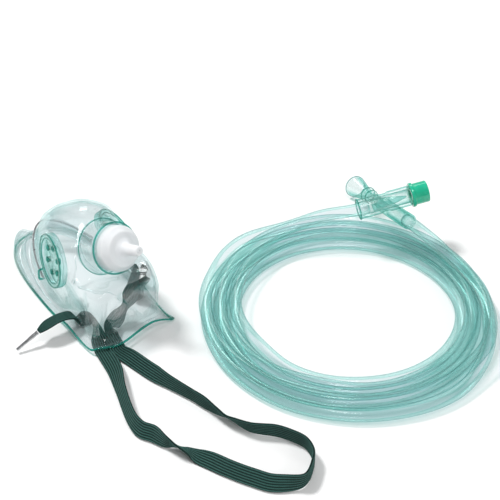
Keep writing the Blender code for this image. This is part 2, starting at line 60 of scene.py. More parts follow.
# Camera: looks down past the nose side of the mask, coil to the right
camera = dict(
    azimuth=-37, elevation=39, lens=85, distance=0.59, target=(0.0801, -0.0287, 0.0),
    clipStart=0.01, clearLayers=48,
)
viewBack = raisedWay(camera["azimuth"], camera["elevation"])
viewRight = -raisedWay(camera["azimuth"] - 90, 0)
camData = bpy.data.cameras.new("camera")
camData.lens = camera["lens"]
camData.clip_start = camera["clipStart"]
camObj = linkNew("camera", camData)
camSpot = np.array(camera["target"]) + camera["distance"] * viewBack
placeFrame(camObj, viewRight, np.cross(viewBack, viewRight), viewBack, camSpot)
bpy.context.scene.camera = camObj
bpy.context.scene.view_settings.view_transform = "Standard"
bpy.context.scene.cycles.transparent_max_bounces = camera["clearLayers"]
print("camera placed")


def addPiece(name, material, points, faces, smooth=True):
    # one mesh object at the origin from whole arrays of points and faces
    mesh = bpy.data.meshes.new(name)
    mesh.from_pydata(np.asarray(points).reshape(-1, 3).tolist(), [], faces)
    mesh.validate()
    mesh.update()
    if smooth:
        mesh.polygons.foreach_set("use_smooth", np.ones(len(mesh.polygons), bool))
    if material:
        mesh.materials.append(material)
    return linkNew(name, mesh)


def gridFaces(rows, cols, wrapRows=False, wrapCols=False):
    # quads between neighbouring rows and columns of a grid, closed round where wrapped
    r = np.arange(rows if wrapRows else rows - 1)[:, None]
    c = np.arange(cols if wrapCols else cols - 1)[None, :]
    rn = (r + 1) % rows
    cn = (c + 1) % cols
    return np.stack([r * cols + c, r * cols + cn, rn * cols + cn, rn * cols + c], -1).reshape(-1, 4).tolist()


def fanFaces(first, cols, centre, flip=False):
    # triangles from a ring of points to one centre point
    near = first + np.arange(cols)
    far = first + (np.arange(cols) + 1) % cols
    ring = [far, near] if flip else [near, far]
    return np.stack(ring + [np.full(cols, centre)], 1).tolist()


def unit(v):
    # every vector of an array divided by its own length
    v = np.asarray(v, float)
    return v / np.linalg.norm(v, axis=-1, keepdims=True)


def runLengths(points):
    # how far along the run each of its points lies
    return np.concatenate([[0], np.cumsum(np.linalg.norm(np.diff(points, axis=0), axis=1))])


def circlePoints(sides):
    # cosine and sine of even angles, once round
    turn = np.arange(sides) * 2 * math.pi / sides
    return np.stack([np.cos(turn), np.sin(turn)], 1)


def throughRows(rows, places):
    # the cubic run through given rows, read at fractional places: slopes come from each row's neighbours
    rows = np.asarray(rows, float)
    last = len(rows) - 1
    places = np.asarray(places, float)
    i = np.clip(places.astype(int), 0, last - 1)
    t = (places - i).reshape((-1,) + (1,) * (rows.ndim - 1))
    a, b, c, d = rows[np.maximum(i - 1, 0)], rows[i], rows[i + 1], rows[np.minimum(i + 2, last)]
    return 0.5 * (2 * b + (c - a) * t + (2 * a - 5 * b + 4 * c - d) * t**2 + (3 * b - a - 3 * c + d) * t**3)


def wholeRun(rows, count):
    # the same run read at so many even places from its first row to its last
    return throughRows(rows, np.linspace(0, len(rows) - 1, count))


def evenRun(points, step):
    # the run read again at even steps of its own length
    length = runLengths(points[:, :3])
    count = max(int(round(length[-1] / step)), 2) + 1
    even = np.linspace(0, length[-1], count)
    return np.stack([np.interp(even, length, points[:, k]) for k in range(points.shape[1])], 1)


def roundCorners(profile, radius, steps=4, mostOfSide=0.48):
    # every inner corner of an open profile swapped for a short curve that leaves and meets its two sides
    p = np.asarray(profile, float)
    out = [p[:1]]
    for k in range(1, len(p) - 1):
        before, after = p[k - 1] - p[k], p[k + 1] - p[k]
        beforeLength, afterLength = np.linalg.norm(before), np.linalg.norm(after)
        cut = min(radius, mostOfSide * beforeLength, mostOfSide * afterLength)
        start, end = p[k] + before / beforeLength * cut, p[k] + after / afterLength * cut
        t = np.linspace(0, 1, steps + 1)[:, None]
        out.append((1 - t) ** 2 * start + 2 * t * (1 - t) * p[k] + t**2 * end)
    out.append(p[-1:])
    return np.concatenate(out)


def roundLoop(profile, radius):
    # the same for a closed profile, whose first corner stays sharp
    return roundCorners(profile + profile[:1], radius)[:-1]


def axisFrame(axis):
    # two directions square to an axis: the first level, the second upward-most
    z = unit(axis)
    x = np.cross((0, 0, 1), z)
    x = unit(x) if np.linalg.norm(x) > 1e-3 else np.array([1.0, 0, 0])
    return x, np.cross(z, x), z


def faceOutward(obj):
    # turns the mesh inside out if the volume that its faces enclose is negative
    mesh = obj.data
    mesh.calc_loop_triangles()
    p = np.empty(len(mesh.vertices) * 3)
    mesh.vertices.foreach_get("co", p)
    t = np.empty(len(mesh.loop_triangles) * 3, int)
    mesh.loop_triangles.foreach_get("vertices", t)
    corner = p.reshape(-1, 3)[t.reshape(-1, 3)]
    if np.einsum("ij,ij->", corner[:, 0], np.cross(corner[:, 1], corner[:, 2])) < 0:
        mesh.flip_normals()


def turnedPiece(name, material, profile, origin, axis, sides=96, shape=None):
    # a profile of (radius, height) pairs carried round an axis;
    # shape(angle, radius, height) may change the radius
    profile = np.asarray(profile, float)
    x, y, z = axisFrame(axis)
    angle = np.arange(sides) * 2 * math.pi / sides
    radius = np.repeat(profile[:, :1], sides, 1)
    height = np.repeat(profile[:, 1:], sides, 1)
    if shape:
        radius = shape(angle[None, :], radius, height)
    ways = np.cos(angle)[None, :, None] * x + np.sin(angle)[None, :, None] * y
    points = np.asarray(origin) + radius[..., None] * ways + height[..., None] * z
    if profile[0, 0] < 1e-7 and profile[-1, 0] < 1e-7:
        # both ends lie on the axis, so each closes in one point
        count = (len(points) - 2) * sides
        flat = np.concatenate([points[1:-1].reshape(-1, 3), points[:1, 0], points[-1:, 0]])
        faces = gridFaces(len(points) - 2, sides, wrapCols=True)
        faces += fanFaces(0, sides, count, flip=True) + fanFaces(count - sides, sides, count + 1)
    else:
        flat = points.reshape(-1, 3)
        faces = gridFaces(len(points), sides, wrapRows=True, wrapCols=True)
    obj = addPiece(name, material, flat, faces)
    faceOutward(obj)
    return obj


wireSides = 12


def beadRing(name, material, radius, height, wire, origin, axis, sides=96, tall=None, shape=None):
    # a thin ring: a small oval outline, wire out and tall up from its middle, carried round the axis
    outline = np.array([radius, height]) + circlePoints(wireSides) * (wire, tall or wire)
    return turnedPiece(name, material, outline, origin, axis, sides, shape)


def carriedProfile(name, material, path, across, profile, widths=1.0):
    # a closed profile of (across, third) pairs carried along a path, its first number scaled by the widths;
    # the UV map holds metres across and metres along
    forward = unit(np.gradient(path, axis=0))
    side = across - (across * forward).sum(1, keepdims=True) * forward
    side = unit(side)
    third = np.cross(forward, side)
    scale = np.broadcast_to(widths, len(path))[:, None, None]
    points = path[:, None] + scale * profile[None, :, :1] * side[:, None]
    points = points + profile[None, :, 1:] * third[:, None]
    rows, cols = len(path), len(profile)
    faces = gridFaces(rows, cols, wrapCols=True)
    faces += fanFaces(0, cols, rows * cols, flip=True) + fanFaces((rows - 1) * cols, cols, rows * cols + 1)
    obj = addPiece(name, material, np.concatenate([points.reshape(-1, 3), path[:1], path[-1:]]), faces)
    along = runLengths(path)
    u = np.append(np.tile(profile[:, 0], rows), [0, 0])
    v = np.append(np.repeat(along, cols), [0, along[-1]])
    index = np.empty(len(obj.data.loops), int)
    obj.data.loops.foreach_get("vertex_index", index)
    obj.data.uv_layers.new(name="run").data.foreach_set("uv", np.stack([u, v], 1)[index].reshape(-1))
    faceOutward(obj)
    return obj


def setInput(tree, socket, value):
    # links another node's output, or sets a plain value
    if isinstance(value, bpy.types.NodeSocket):
        tree.links.new(value, socket)
    else:
        socket.default_value = value


def addNode(tree, kind, *inOrder, **byName):
    # a new node, its inputs given in their order or by their names, with _ for a space
    node = tree.nodes.new(kind)
    for socket, value in zip(node.inputs, inOrder):
        setInput(tree, socket, value)
    for key, value in byName.items():
        setInput(tree, node.inputs[key.replace("_", " ")], value)
    return node


def mathNode(tree, operation, *values):
    node = addNode(tree, "ShaderNodeMath", *values)
    node.operation = operation
    return node.outputs[0]


def rangeNode(tree, value, **limits):
    # the value carried from one range to another, 0 to 1 where no limit is given
    return addNode(tree, "ShaderNodeMapRange", Value=value, **limits).outputs["Result"]


def mixNode(tree, share, first, second):
    # the first shader with a share of the second in it
    return addNode(tree, "ShaderNodeMixShader", share, first.outputs[0], second.outputs[0])


def seenShare(tree, *rays):
    # 1 for the named kinds of ray, else 0
    light = tree.nodes.new("ShaderNodeLightPath")
    seen = light.outputs[rays[0]]
    for ray in rays[1:]:
        seen = mathNode(tree, "MAXIMUM", seen, light.outputs[ray])
    return seen


def rampNode(tree, factor, stops):
    # each stop is a place and then a colour
    ramp = addNode(tree, "ShaderNodeValToRGB", factor)
    while len(ramp.color_ramp.elements) < len(stops):
        ramp.color_ramp.elements.new(0.5)
    for element, (place, *colour) in zip(ramp.color_ramp.elements, stops):
        element.position = place
        element.color = (*colour, 1)
    return ramp.outputs["Color"]


def noiseNode(tree, scale, detail):
    spot = tree.nodes.new("ShaderNodeTexCoord").outputs["Object"]
    return addNode(tree, "ShaderNodeTexNoise", Vector=spot, Scale=scale, Detail=detail).outputs["Fac"]


def bumpNode(tree, height, strength, distance):
    bump = addNode(tree, "ShaderNodeBump", Height=height, Strength=strength, Distance=distance)
    return bump.outputs["Normal"]


def nodeMaterial(name):
    made = bpy.data.materials.new(name)
    made.use_nodes = True
    made.node_tree.nodes.clear()
    return made, made.node_tree


def finishMaterial(tree, shader):
    addNode(tree, "ShaderNodeOutputMaterial", Surface=shader.outputs[0])


plainWhite = (1, 1, 1, 1)


def clearMaterial(name, look, **changes):
    # light goes straight through, tinted more where the surface turns away;
    # a small share scatters in the body, and gloss lies on top
    look = {**look, **changes}
    made, tree = nodeMaterial(name)
    ripple = noiseNode(tree, look["rippleScale"], detail=2.0)
    normal = bumpNode(tree, ripple, look["ripple"], distance=0.0006)
    facing = addNode(tree, "ShaderNodeLayerWeight", Blend=0.5).outputs["Facing"]
    through = addNode(tree, "ShaderNodeBsdfTransparent", Color=rampNode(tree, facing, look["tint"]))
    mottle = noiseNode(tree, look["rippleScale"] * 0.7, detail=3.0)
    dark, pale = look["body"]
    bodyColour = rampNode(tree, mottle, [(0.35, *dark), (0.65, *pale)])
    body = addNode(tree, "ShaderNodeBsdfDiffuse", Color=bodyColour, Normal=normal)
    least, most = look["share"]
    share = rangeNode(tree, facing, From_Min=look["shareFrom"], To_Min=least, To_Max=most)
    wall = mixNode(tree, share, through, body)
    fresnel = addNode(tree, "ShaderNodeFresnel", IOR=look["ior"], Normal=normal).outputs[0]
    gloss = mathNode(tree, "MINIMUM", fresnel, look["glossMost"])
    shine = addNode(tree, "ShaderNodeBsdfGlossy", Color=plainWhite, Roughness=look["roughness"], Normal=normal)
    finishMaterial(tree, mixNode(tree, gloss, wall, shine))
    return made


def solidMaterial(name, dark, pale, grainScale, grain, roughness, metallic=0, soft=0, coat=0):
    # one body with colour that varies a little, gloss that varies with it, and a fine grain
    made, tree = nodeMaterial(name)
    noise = noiseNode(tree, grainScale, detail=4.0)
    colour = rampNode(tree, noise, [(0.3, *dark), (0.7, *pale)])
    rough = rangeNode(tree, noise, To_Min=roughness[0], To_Max=roughness[1])
    shader = addNode(
        tree, "ShaderNodeBsdfPrincipled", Base_Color=colour, Roughness=rough, Metallic=metallic,
        Normal=bumpNode(tree, noise, grain, distance=0.0004), Coat_Weight=coat,
        Subsurface_Weight=soft, Subsurface_Radius=(0.004, 0.004, 0.004), Subsurface_Scale=1.0,
    )
    finishMaterial(tree, shader)
    return made


# Looks: tint by how far the surface turns away, body colours, share of the body, gloss and ripple
vinylLook = dict(
    tint=[
        (0.0, 0.958, 0.974, 0.979), (0.40, 0.943, 0.967, 0.971), (0.68, 0.895, 0.953, 0.953),
        (0.86, 0.80, 0.920, 0.910), (1.0, 0.56, 0.82, 0.80),
    ],
    body=((0.62, 0.78, 0.78), (0.80, 0.90, 0.92)), share=(0.012, 0.13), shareFrom=0.35,
    ior=1.42, glossMost=0.24, roughness=0.06, ripple=0.09, rippleScale=50,
)
rimLook = dict(
    tint=[(0.0, 0.42, 0.88, 0.82), (0.5, 0.24, 0.74, 0.67), (1.0, 0.08, 0.50, 0.44)],
    body=((0.02, 0.36, 0.30), (0.06, 0.48, 0.41)), share=(0.25, 0.35), shareFrom=0.2,
    ior=1.42, glossMost=0.14, roughness=0.12, ripple=0.2, rippleScale=90,
)
hoseLook = dict(
    tint=[
        (0.0, 0.925, 0.948, 0.962), (0.15, 0.905, 0.942, 0.952), (0.20, 0.70, 0.87, 0.855),
        (0.26, 0.79, 0.95, 0.932), (0.40, 0.84, 0.96, 0.945), (0.54, 0.78, 0.925, 0.915),
        (0.66, 0.55, 0.75, 0.735), (1.0, 0.47, 0.69, 0.67),
    ],
    body=((0.42, 0.74, 0.72), (0.58, 0.85, 0.84)), share=(0.045, 0.12), shareFrom=0.2,
    ior=1.42, glossMost=0.20, roughness=0.09, ripple=0.02, rippleScale=50,
)
connectorLook = dict(
    tint=[
        (0.0, 0.955, 0.977, 0.977), (0.4, 0.91, 0.96, 0.956), (0.62, 0.58, 0.87, 0.83),
        (0.85, 0.24, 0.67, 0.60), (1.0, 0.14, 0.56, 0.48),
    ],
    body=((0.30, 0.68, 0.60), (0.52, 0.84, 0.78)), share=(0.035, 0.16), shareFrom=0.3,
    ior=1.45, glossMost=0.13, roughness=0.17, ripple=0.01, rippleScale=60,
)
ventTint = [
    (0.0, 0.86, 0.95, 0.945), (0.45, 0.80, 0.93, 0.92), (0.8, 0.40, 0.76, 0.71), (1.0, 0.20, 0.58, 0.53),
]
lipTint = [(0.0, 0.70, 0.82, 0.82), (1.0, 0.40, 0.60, 0.60)]
plugTint = [(0.0, 0.66, 0.90, 0.87), (0.5, 0.50, 0.82, 0.78), (1.0, 0.26, 0.62, 0.56)]
vinyl = clearMaterial("clear_green_vinyl_skin", vinylLook)
vinylRim = clearMaterial("clear_green_vinyl_edge", rimLook)
ventVinyl = clearMaterial("clear_green_vinyl_vent", vinylLook, tint=ventTint)
hoseVinyl = clearMaterial("clear_hose_wall", hoseLook)
clearMoulding = clearMaterial("clear_connector_moulding", connectorLook)
ringMoulding = clearMaterial("clear_connector_lip", connectorLook, tint=lipTint)
plugMoulding = clearMaterial("clear_connector_plug", connectorLook, tint=plugTint)
milky = solidMaterial(
    "milky_cap", dark=(0.85, 0.875, 0.90), pale=(0.90, 0.92, 0.945), grainScale=60, grain=0.03,
    roughness=(0.34, 0.46), soft=0.5,
)
metal = solidMaterial(
    "brushed_metal", dark=(0.42, 0.43, 0.44), pale=(0.66, 0.67, 0.68), grainScale=400, grain=0.12,
    roughness=(0.22, 0.38), metallic=1.0,
)
socketGreen = solidMaterial(
    "socket_green", dark=(0.006, 0.45, 0.26), pale=(0.018, 0.56, 0.34), grainScale=150, grain=0.05,
    roughness=(0.14, 0.24), coat=0.6,
)
print("materials made")

# Hose: one clear tube, coiled more than five times round, then settled until its strands rest on one another
hose = dict(radius=0.0030, sides=24, centre=(0.0856, -0.0957), turnOffset=-37.0, step=0.0021, placesPerRow=16)
# start of the hose inside the sleeve, millimetres in x, y, z
tailStart = [(129.3, -60.2, 23.7), (124.3, -57.9, 22.8), (120.2, -55.0, 21.6)]
# the turns: degrees gone round, distance from the middle, height, in millimetres
turns = [
    (96, 54.4, 19.8), (105, 55.4, 17.8), (113, 56.6, 16.6), (122, 58.4, 15.8), (130, 60.4, 15.3),
    (138, 62.2, 14.6), (146, 63.8, 13.4), (156, 65.2, 11.6), (168, 66, 9.8), (180, 65.8, 9.3),
    (200, 64.8, 9.1), (220, 63.4, 8.8), (245, 62.2, 8.5), (270, 61.5, 8.4), (300, 62, 8.4), (330, 62.8, 8.4),
    (360, 63.5, 8.4), (390, 63.8, 8.5), (420, 64, 8.8), (450, 64, 9.1), (480, 62.8, 9.1), (510, 60.6, 9.1),
    (540, 59, 9.1), (565, 57.8, 9), (590, 56.4, 8.6), (630, 55, 8.4), (660, 55.6, 8.4), (690, 56.8, 8.4),
    (720, 57.5, 8.4), (750, 57.8, 8.6), (780, 58.2, 8.9), (805, 58.6, 9.1), (825, 58, 9.1), (845, 56, 9.1),
    (865, 53.8, 9.1), (885, 52.6, 9.1), (900, 52, 8.8), (914, 51.2, 7.2), (930, 49.8, 4.8), (948, 48.4, 3.1),
    (970, 47.8, 3), (990, 47.6, 3), (1020, 48.8, 3), (1050, 51, 3), (1080, 54.5, 3), (1110, 54, 3),
    (1140, 52.8, 3), (1170, 52, 3), (1200, 52.4, 3), (1230, 53, 3), (1260, 53, 3), (1290, 52.2, 3),
    (1320, 51.7, 3), (1350, 51.7, 3), (1380, 53.6, 3), (1410, 57.2, 3), (1440, 60.5, 3), (1470, 60.6, 3),
    (1500, 60.2, 3), (1530, 60, 3), (1560, 59.6, 3), (1590, 59.2, 3), (1620, 59, 3), (1650, 58.6, 3),
    (1680, 58.2, 3), (1710, 58.2, 3), (1740, 60, 3), (1770, 63.4, 3), (1800, 66.5, 3), (1830, 66.8, 3),
    (1860, 66.4, 3), (1890, 66, 3), (1920, 65.6, 3), (1950, 65.2, 3), (1980, 65, 3), (2010, 64.8, 3),
    (2040, 64.7, 3), (2068, 64.7, 3), (2088, 65.8, 3.2), (2103, 67.6, 4.8), (2116, 68.6, 8),
    (2128, 67.4, 11.6), (2140, 65.2, 14), (2152, 63.8, 14.5), (2163, 62.6, 14.6), (2172, 60.9, 14.8),
    (2180, 59, 15.2),
]
tailEnd = [
    (142.1, -106.0, 15.8), (141.7, -97.0, 17.4), (140.6, -88.0, 19.2), (140.2, -80.2, 20.2),
    (141.5, -74.2, 18.6),
]
# how the coil settles: counts of rounds and of held places at both ends, shares of a move, and metres
settling = dict(
    rounds=220, lastRounds=60, heldStart=14, heldEnd=12, soften=7, straighten=0.30, keepPlace=0.05, sink=0.00005,
    lastSink=0.00001, searchEvery=15, nearby=0.011, sameStrand=0.02, clearance=0.00005, pushMost=0.002,
    pushRounds=3, pushShare=1.6, floorGap=0.0001, blurRounds=10,
)


def hoseRoute():
    # the table of turns as points: x and y by angle and distance from the middle of the coil
    table = np.array(turns, float)
    angle = np.radians(table[:, 0] + hose["turnOffset"])
    away = table[:, 1] / 1000
    x, y = hose["centre"]
    around = np.stack([x + away * np.cos(angle), y + away * np.sin(angle), table[:, 2] / 1000], 1)
    rows = np.concatenate([np.array(tailStart) / 1000, around, np.array(tailEnd) / 1000])
    return evenRun(wholeRun(rows, len(rows) * hose["placesPerRow"]), hose["step"])


def strandGaps(path):
    # distance of every point from every other
    return np.linalg.norm(path[:, None] - path[None], axis=2)


def settle(path):
    # each round: every stretch straightens a little, sinks a little and keeps near its place in plan,
    # and strands that touch push apart
    own = settling
    now = path.copy()
    free = np.ones(len(path))
    free[:own["heldStart"]] = 0
    free[-own["heldEnd"]:] = 0
    free = np.minimum(np.convolve(free, np.ones(own["soften"]) / own["soften"], "same"), free)[:, None]
    touch = 2 * hose["radius"] + own["clearance"]
    for turn in range(own["rounds"]):
        then = now.copy()
        then[1:-1] += own["straighten"] * (0.5 * (now[:-2] + now[2:]) - now[1:-1])
        then[:, :2] += own["keepPlace"] * (path[:, :2] - then[:, :2])
        then[:, 2] -= own["sink"] if turn < own["rounds"] - own["lastRounds"] else own["lastSink"]
        if turn % own["searchEvery"] == 0:
            one, other = np.nonzero(np.triu(strandGaps(then) < own["nearby"], strandApart))
        for _ in range(own["pushRounds"]):
            away = then[one] - then[other]
            gap = np.linalg.norm(away, axis=1, keepdims=True)
            push = np.clip(touch - gap, 0, own["pushMost"]) * away / np.maximum(gap, 1e-9)
            touching = (gap[:, 0] < touch).astype(float)
            move = np.zeros_like(then)
            hits = np.zeros(len(then))
            for end, sign in ((one, 1), (other, -1)):
                np.add.at(move, end, sign * 0.5 * push)
                np.add.at(hits, end, touching)
            then += move / np.maximum(hits, 1)[:, None] * own["pushShare"]
            then[:, 2] = np.maximum(then[:, 2], hose["radius"] + own["floorGap"])
        now = now + free * (then - now)
    return now


def blurRun(points, rounds):
    # each inner point moves half way to the middle of its two neighbours
    for _ in range(rounds):
        points[1:-1] += 0.5 * (0.5 * (points[:-2] + points[2:]) - points[1:-1])
    return points


strandApart = int(settling["sameStrand"] / hose["step"])
hosePath = blurRun(settle(hoseRoute()), settling["blurRounds"])
hosePath[:, 2] = np.maximum(hosePath[:, 2], hose["radius"])
hoseRound = hose["radius"] * circlePoints(hose["sides"])
hoseObj = carriedProfile("hose", hoseVinyl, hosePath, (0.0, 0.0, 1.0), hoseRound)


def ribbed(piece, low, high):
    # radius falls by a cosine of the angle between two heights, only on the wall outside the least radius
    def shape(angle, radius, height):
        within = (height > low) & (height < high) & (radius > piece["ribLeast"])
        return radius - np.where(within, piece["ribDepth"] * (0.5 - 0.5 * np.cos(piece["ribs"] * angle)), 0)

    return shape


# Connector sleeve: a clear tube with fine ribs lengthwise, a waist in the middle and a dotted lip ring
sleeve = dict(
    start=(0.1243, -0.0579, 0.0228), axis=(0.895, -0.412, 0.169), outer=0.0050, bore=0.0035, length=0.0265,
    waist=(0.0110, 0.0120, 0.0150, 0.0160), waistDepth=0.0005, round=0.0004,
    ribs=16, ribDepth=0.00010, ribEnd=0.001, ribLeast=0.0036,
)
lipRing = dict(radius=0.0049, height=0.0003, wire=0.00028, tall=0.0003, dots=14, dotDepth=0.00018)
outer, bore, waist, length = sleeve["outer"], sleeve["bore"], sleeve["waist"], sleeve["length"]
sleeveLoop = roundLoop([
    (bore, length), (outer, length), (outer, waist[3]), (outer - sleeve["waistDepth"], waist[2]),
    (outer - sleeve["waistDepth"], waist[1]), (outer, waist[0]), (outer, 0.0), (bore, 0.0),
], sleeve["round"])
sleeveRibs = ribbed(sleeve, sleeve["ribEnd"], length - sleeve["ribEnd"])
sleeveSpot = (sleeve["start"], sleeve["axis"])
sleeveObj = turnedPiece("connector_sleeve_skin", clearMoulding, sleeveLoop, *sleeveSpot, 96, sleeveRibs)
sleeveRing = beadRing(
    "connector_ring", vinylRim, lipRing["radius"], lipRing["height"], lipRing["wire"], *sleeveSpot, 120,
    lipRing["tall"], lambda angle, radius, height: radius + lipRing["dotDepth"] * np.cos(lipRing["dots"] * angle),
)
# the tapered plug inside the sleeve, as (radius, height)
plugProfile = [
    (0, 0.0250), (0.0005, 0.0245), (0.0016, 0.0200), (0.0026, 0.0130), (0.0031, 0.0085), (0.0032, 0.0075),
    (0, 0.0075),
]
plugOutline = roundCorners(plugProfile, radius=0.0004, steps=3)
plugObj = turnedPiece("connector_plug", plugMoulding, plugOutline, *sleeveSpot, 64)

# Connector socket: a green cap with a flange ring and fine ribs
socket = dict(
    outer=0.0054, ring=0.0061, ringLength=0.0016, length=0.0086, bore=0.0029, gap=0.0003, round=0.0005,
    ribs=20, ribDepth=0.00012, ribLow=0.0006, ribHigh=0.0008, ribLeast=0.0036,
)
socketStart = np.array(sleeve["start"]) + unit(sleeve["axis"]) * (length + socket["gap"])
outer, bore, ring, ringTop, length = (socket[key] for key in ("outer", "bore", "ring", "ringLength", "length"))
socketLoop = roundLoop(
    [(bore, length), (outer, length), (outer, ringTop), (ring, ringTop), (ring, 0), (bore, 0)], socket["round"],
)
socketRibs = ribbed(socket, ringTop + socket["ribLow"], length - socket["ribHigh"])
socketSpot = (socketStart, sleeve["axis"])
socketObj = turnedPiece("connector_socket_skin", socketGreen, socketLoop, *socketSpot, 120, socketRibs)

# Connector funnel: a slim neck with two rings and an open mouth
funnel = dict(mouth=(0.1523, -0.0250, 0.0056), end=(0.1402, -0.0802, 0.0202), round=0.0003)
funnelBead = dict(wire=0.0002, tall=0.0003)
funnelAxis = np.array(funnel["mouth"]) - np.array(funnel["end"])
funnelLength = float(np.linalg.norm(funnelAxis))
# its outside as (distance from the mouth, radius)
funnelOut = [
    (0.0, 0.0057), (0.0008, 0.0056), (0.0125, 0.0030), (0.0132, 0.0030), (0.0134, 0.0041), (0.0146, 0.0041),
    (0.0148, 0.0026), (0.0166, 0.0026), (0.0168, 0.0037), (0.0180, 0.0037), (0.0182, 0.0026), (0.0270, 0.0026),
    (0.0290, 0.0038),
]
# its inside as (radius, distance from the hose end), up to the mouth
funnelIn = [
    (0.0039, 0.0030), (0.0032, 0.0030), (0.0032, 0.0200), (0.0018, 0.0215),
    (0.0018, funnelLength - 0.0130), (0.0048, funnelLength - 0.0008), (0.0050, funnelLength),
]
funnelWall = [(radius, funnelLength - below) for below, radius in funnelOut] + funnelIn
funnelLoop = roundLoop(funnelWall, funnel["round"])
funnelSpot = (funnel["end"], funnelAxis)
funnelObj = turnedPiece("connector_funnel_skin", clearMoulding, funnelLoop, *funnelSpot)
# beads at the mouth and on both rings: name, material, distance from the mouth, radius
funnelBeads = [
    ("mouth", ringMoulding, 0.0002, 0.0055), ("first", vinylRim, 0.0140, 0.0040),
    ("second", vinylRim, 0.0174, 0.0036),
]
funnelRings = []
for name, material, below, radius in funnelBeads:
    size = (radius, funnelLength - below, funnelBead["wire"])
    funnelRings.append(beadRing("connector_bead_" + name, material, *size, *funnelSpot, tall=funnelBead["tall"]))
print("connectors made")

connectorNodes = {"connector_sleeve": sleeveObj, "connector_socket": socketObj, "connector_funnel": funnelObj}
for node, obj in connectorNodes.items():
    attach(obj, "root")
    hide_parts(node)
for obj in [sleeveRing, plugObj] + funnelRings:
    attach(obj, "root")
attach(hoseObj, "root")
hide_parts("hose_coil", "hose_tail_a", "hose_tail_b")


def elasticMaterial(name, ribPitch, threadPitch, grooveShade, dark, pale, fuzzScale=900, relief=0.6, roughness=0.8):
    # ribs run along the strap; fine cross threads cross them; the colour is painted darker in the grooves between
    # ribs as painted shade and paler on the rib crests as painted highlight
    made, tree = nodeMaterial(name)
    run = tree.nodes.new("ShaderNodeUVMap")
    run.uv_map = "run"
    parts = addNode(tree, "ShaderNodeSeparateXYZ", Vector=run.outputs["UV"])

    def wave(source, period, power):
        # a cosine of the place, lifted to 0 to 1 and raised to a power
        cosine = mathNode(tree, "COSINE", mathNode(tree, "MULTIPLY", source, 2 * math.pi / period))
        return mathNode(tree, "POWER", rangeNode(tree, cosine, From_Min=-1), power)

    rib = wave(parts.outputs["X"], ribPitch, power=0.7)
    thread = wave(parts.outputs["Y"], threadPitch, power=1.0)
    fuzz = noiseNode(tree, fuzzScale, detail=3.0)
    height = mathNode(tree, "ADD", mathNode(tree, "MULTIPLY", rib, thread), fuzz)
    shade = tree.nodes.new("ShaderNodeVectorMath")
    shade.operation = "SCALE"
    # painted shade in the grooves and painted highlight on the rib crests, by the rib's height
    setInput(tree, shade.inputs[0], rampNode(tree, rib, [(0.0, *grooveShade), (0.45, *dark), (1.0, *pale)]))
    setInput(tree, shade.inputs["Scale"], rangeNode(tree, fuzz, To_Min=0.75, To_Max=1.25))
    shader = addNode(
        tree, "ShaderNodeBsdfPrincipled", Base_Color=shade.outputs[0], Roughness=roughness, Sheen_Weight=0.06,
        Specular_IOR_Level=0.25, Normal=bumpNode(tree, height, relief, distance=0.0003),
    )
    finishMaterial(tree, shader)
    return made


# Strap: one flat ribbed elastic
strap = dict(
    width=0.0075, thick=0.0011, ribs=7, ribDepth=0.00022, step=0.0008, threadPitch=0.0008, taper=0.006,
    endShare=0.38, floorGap=0.0001, spread=7, placesPerRow=24,
)
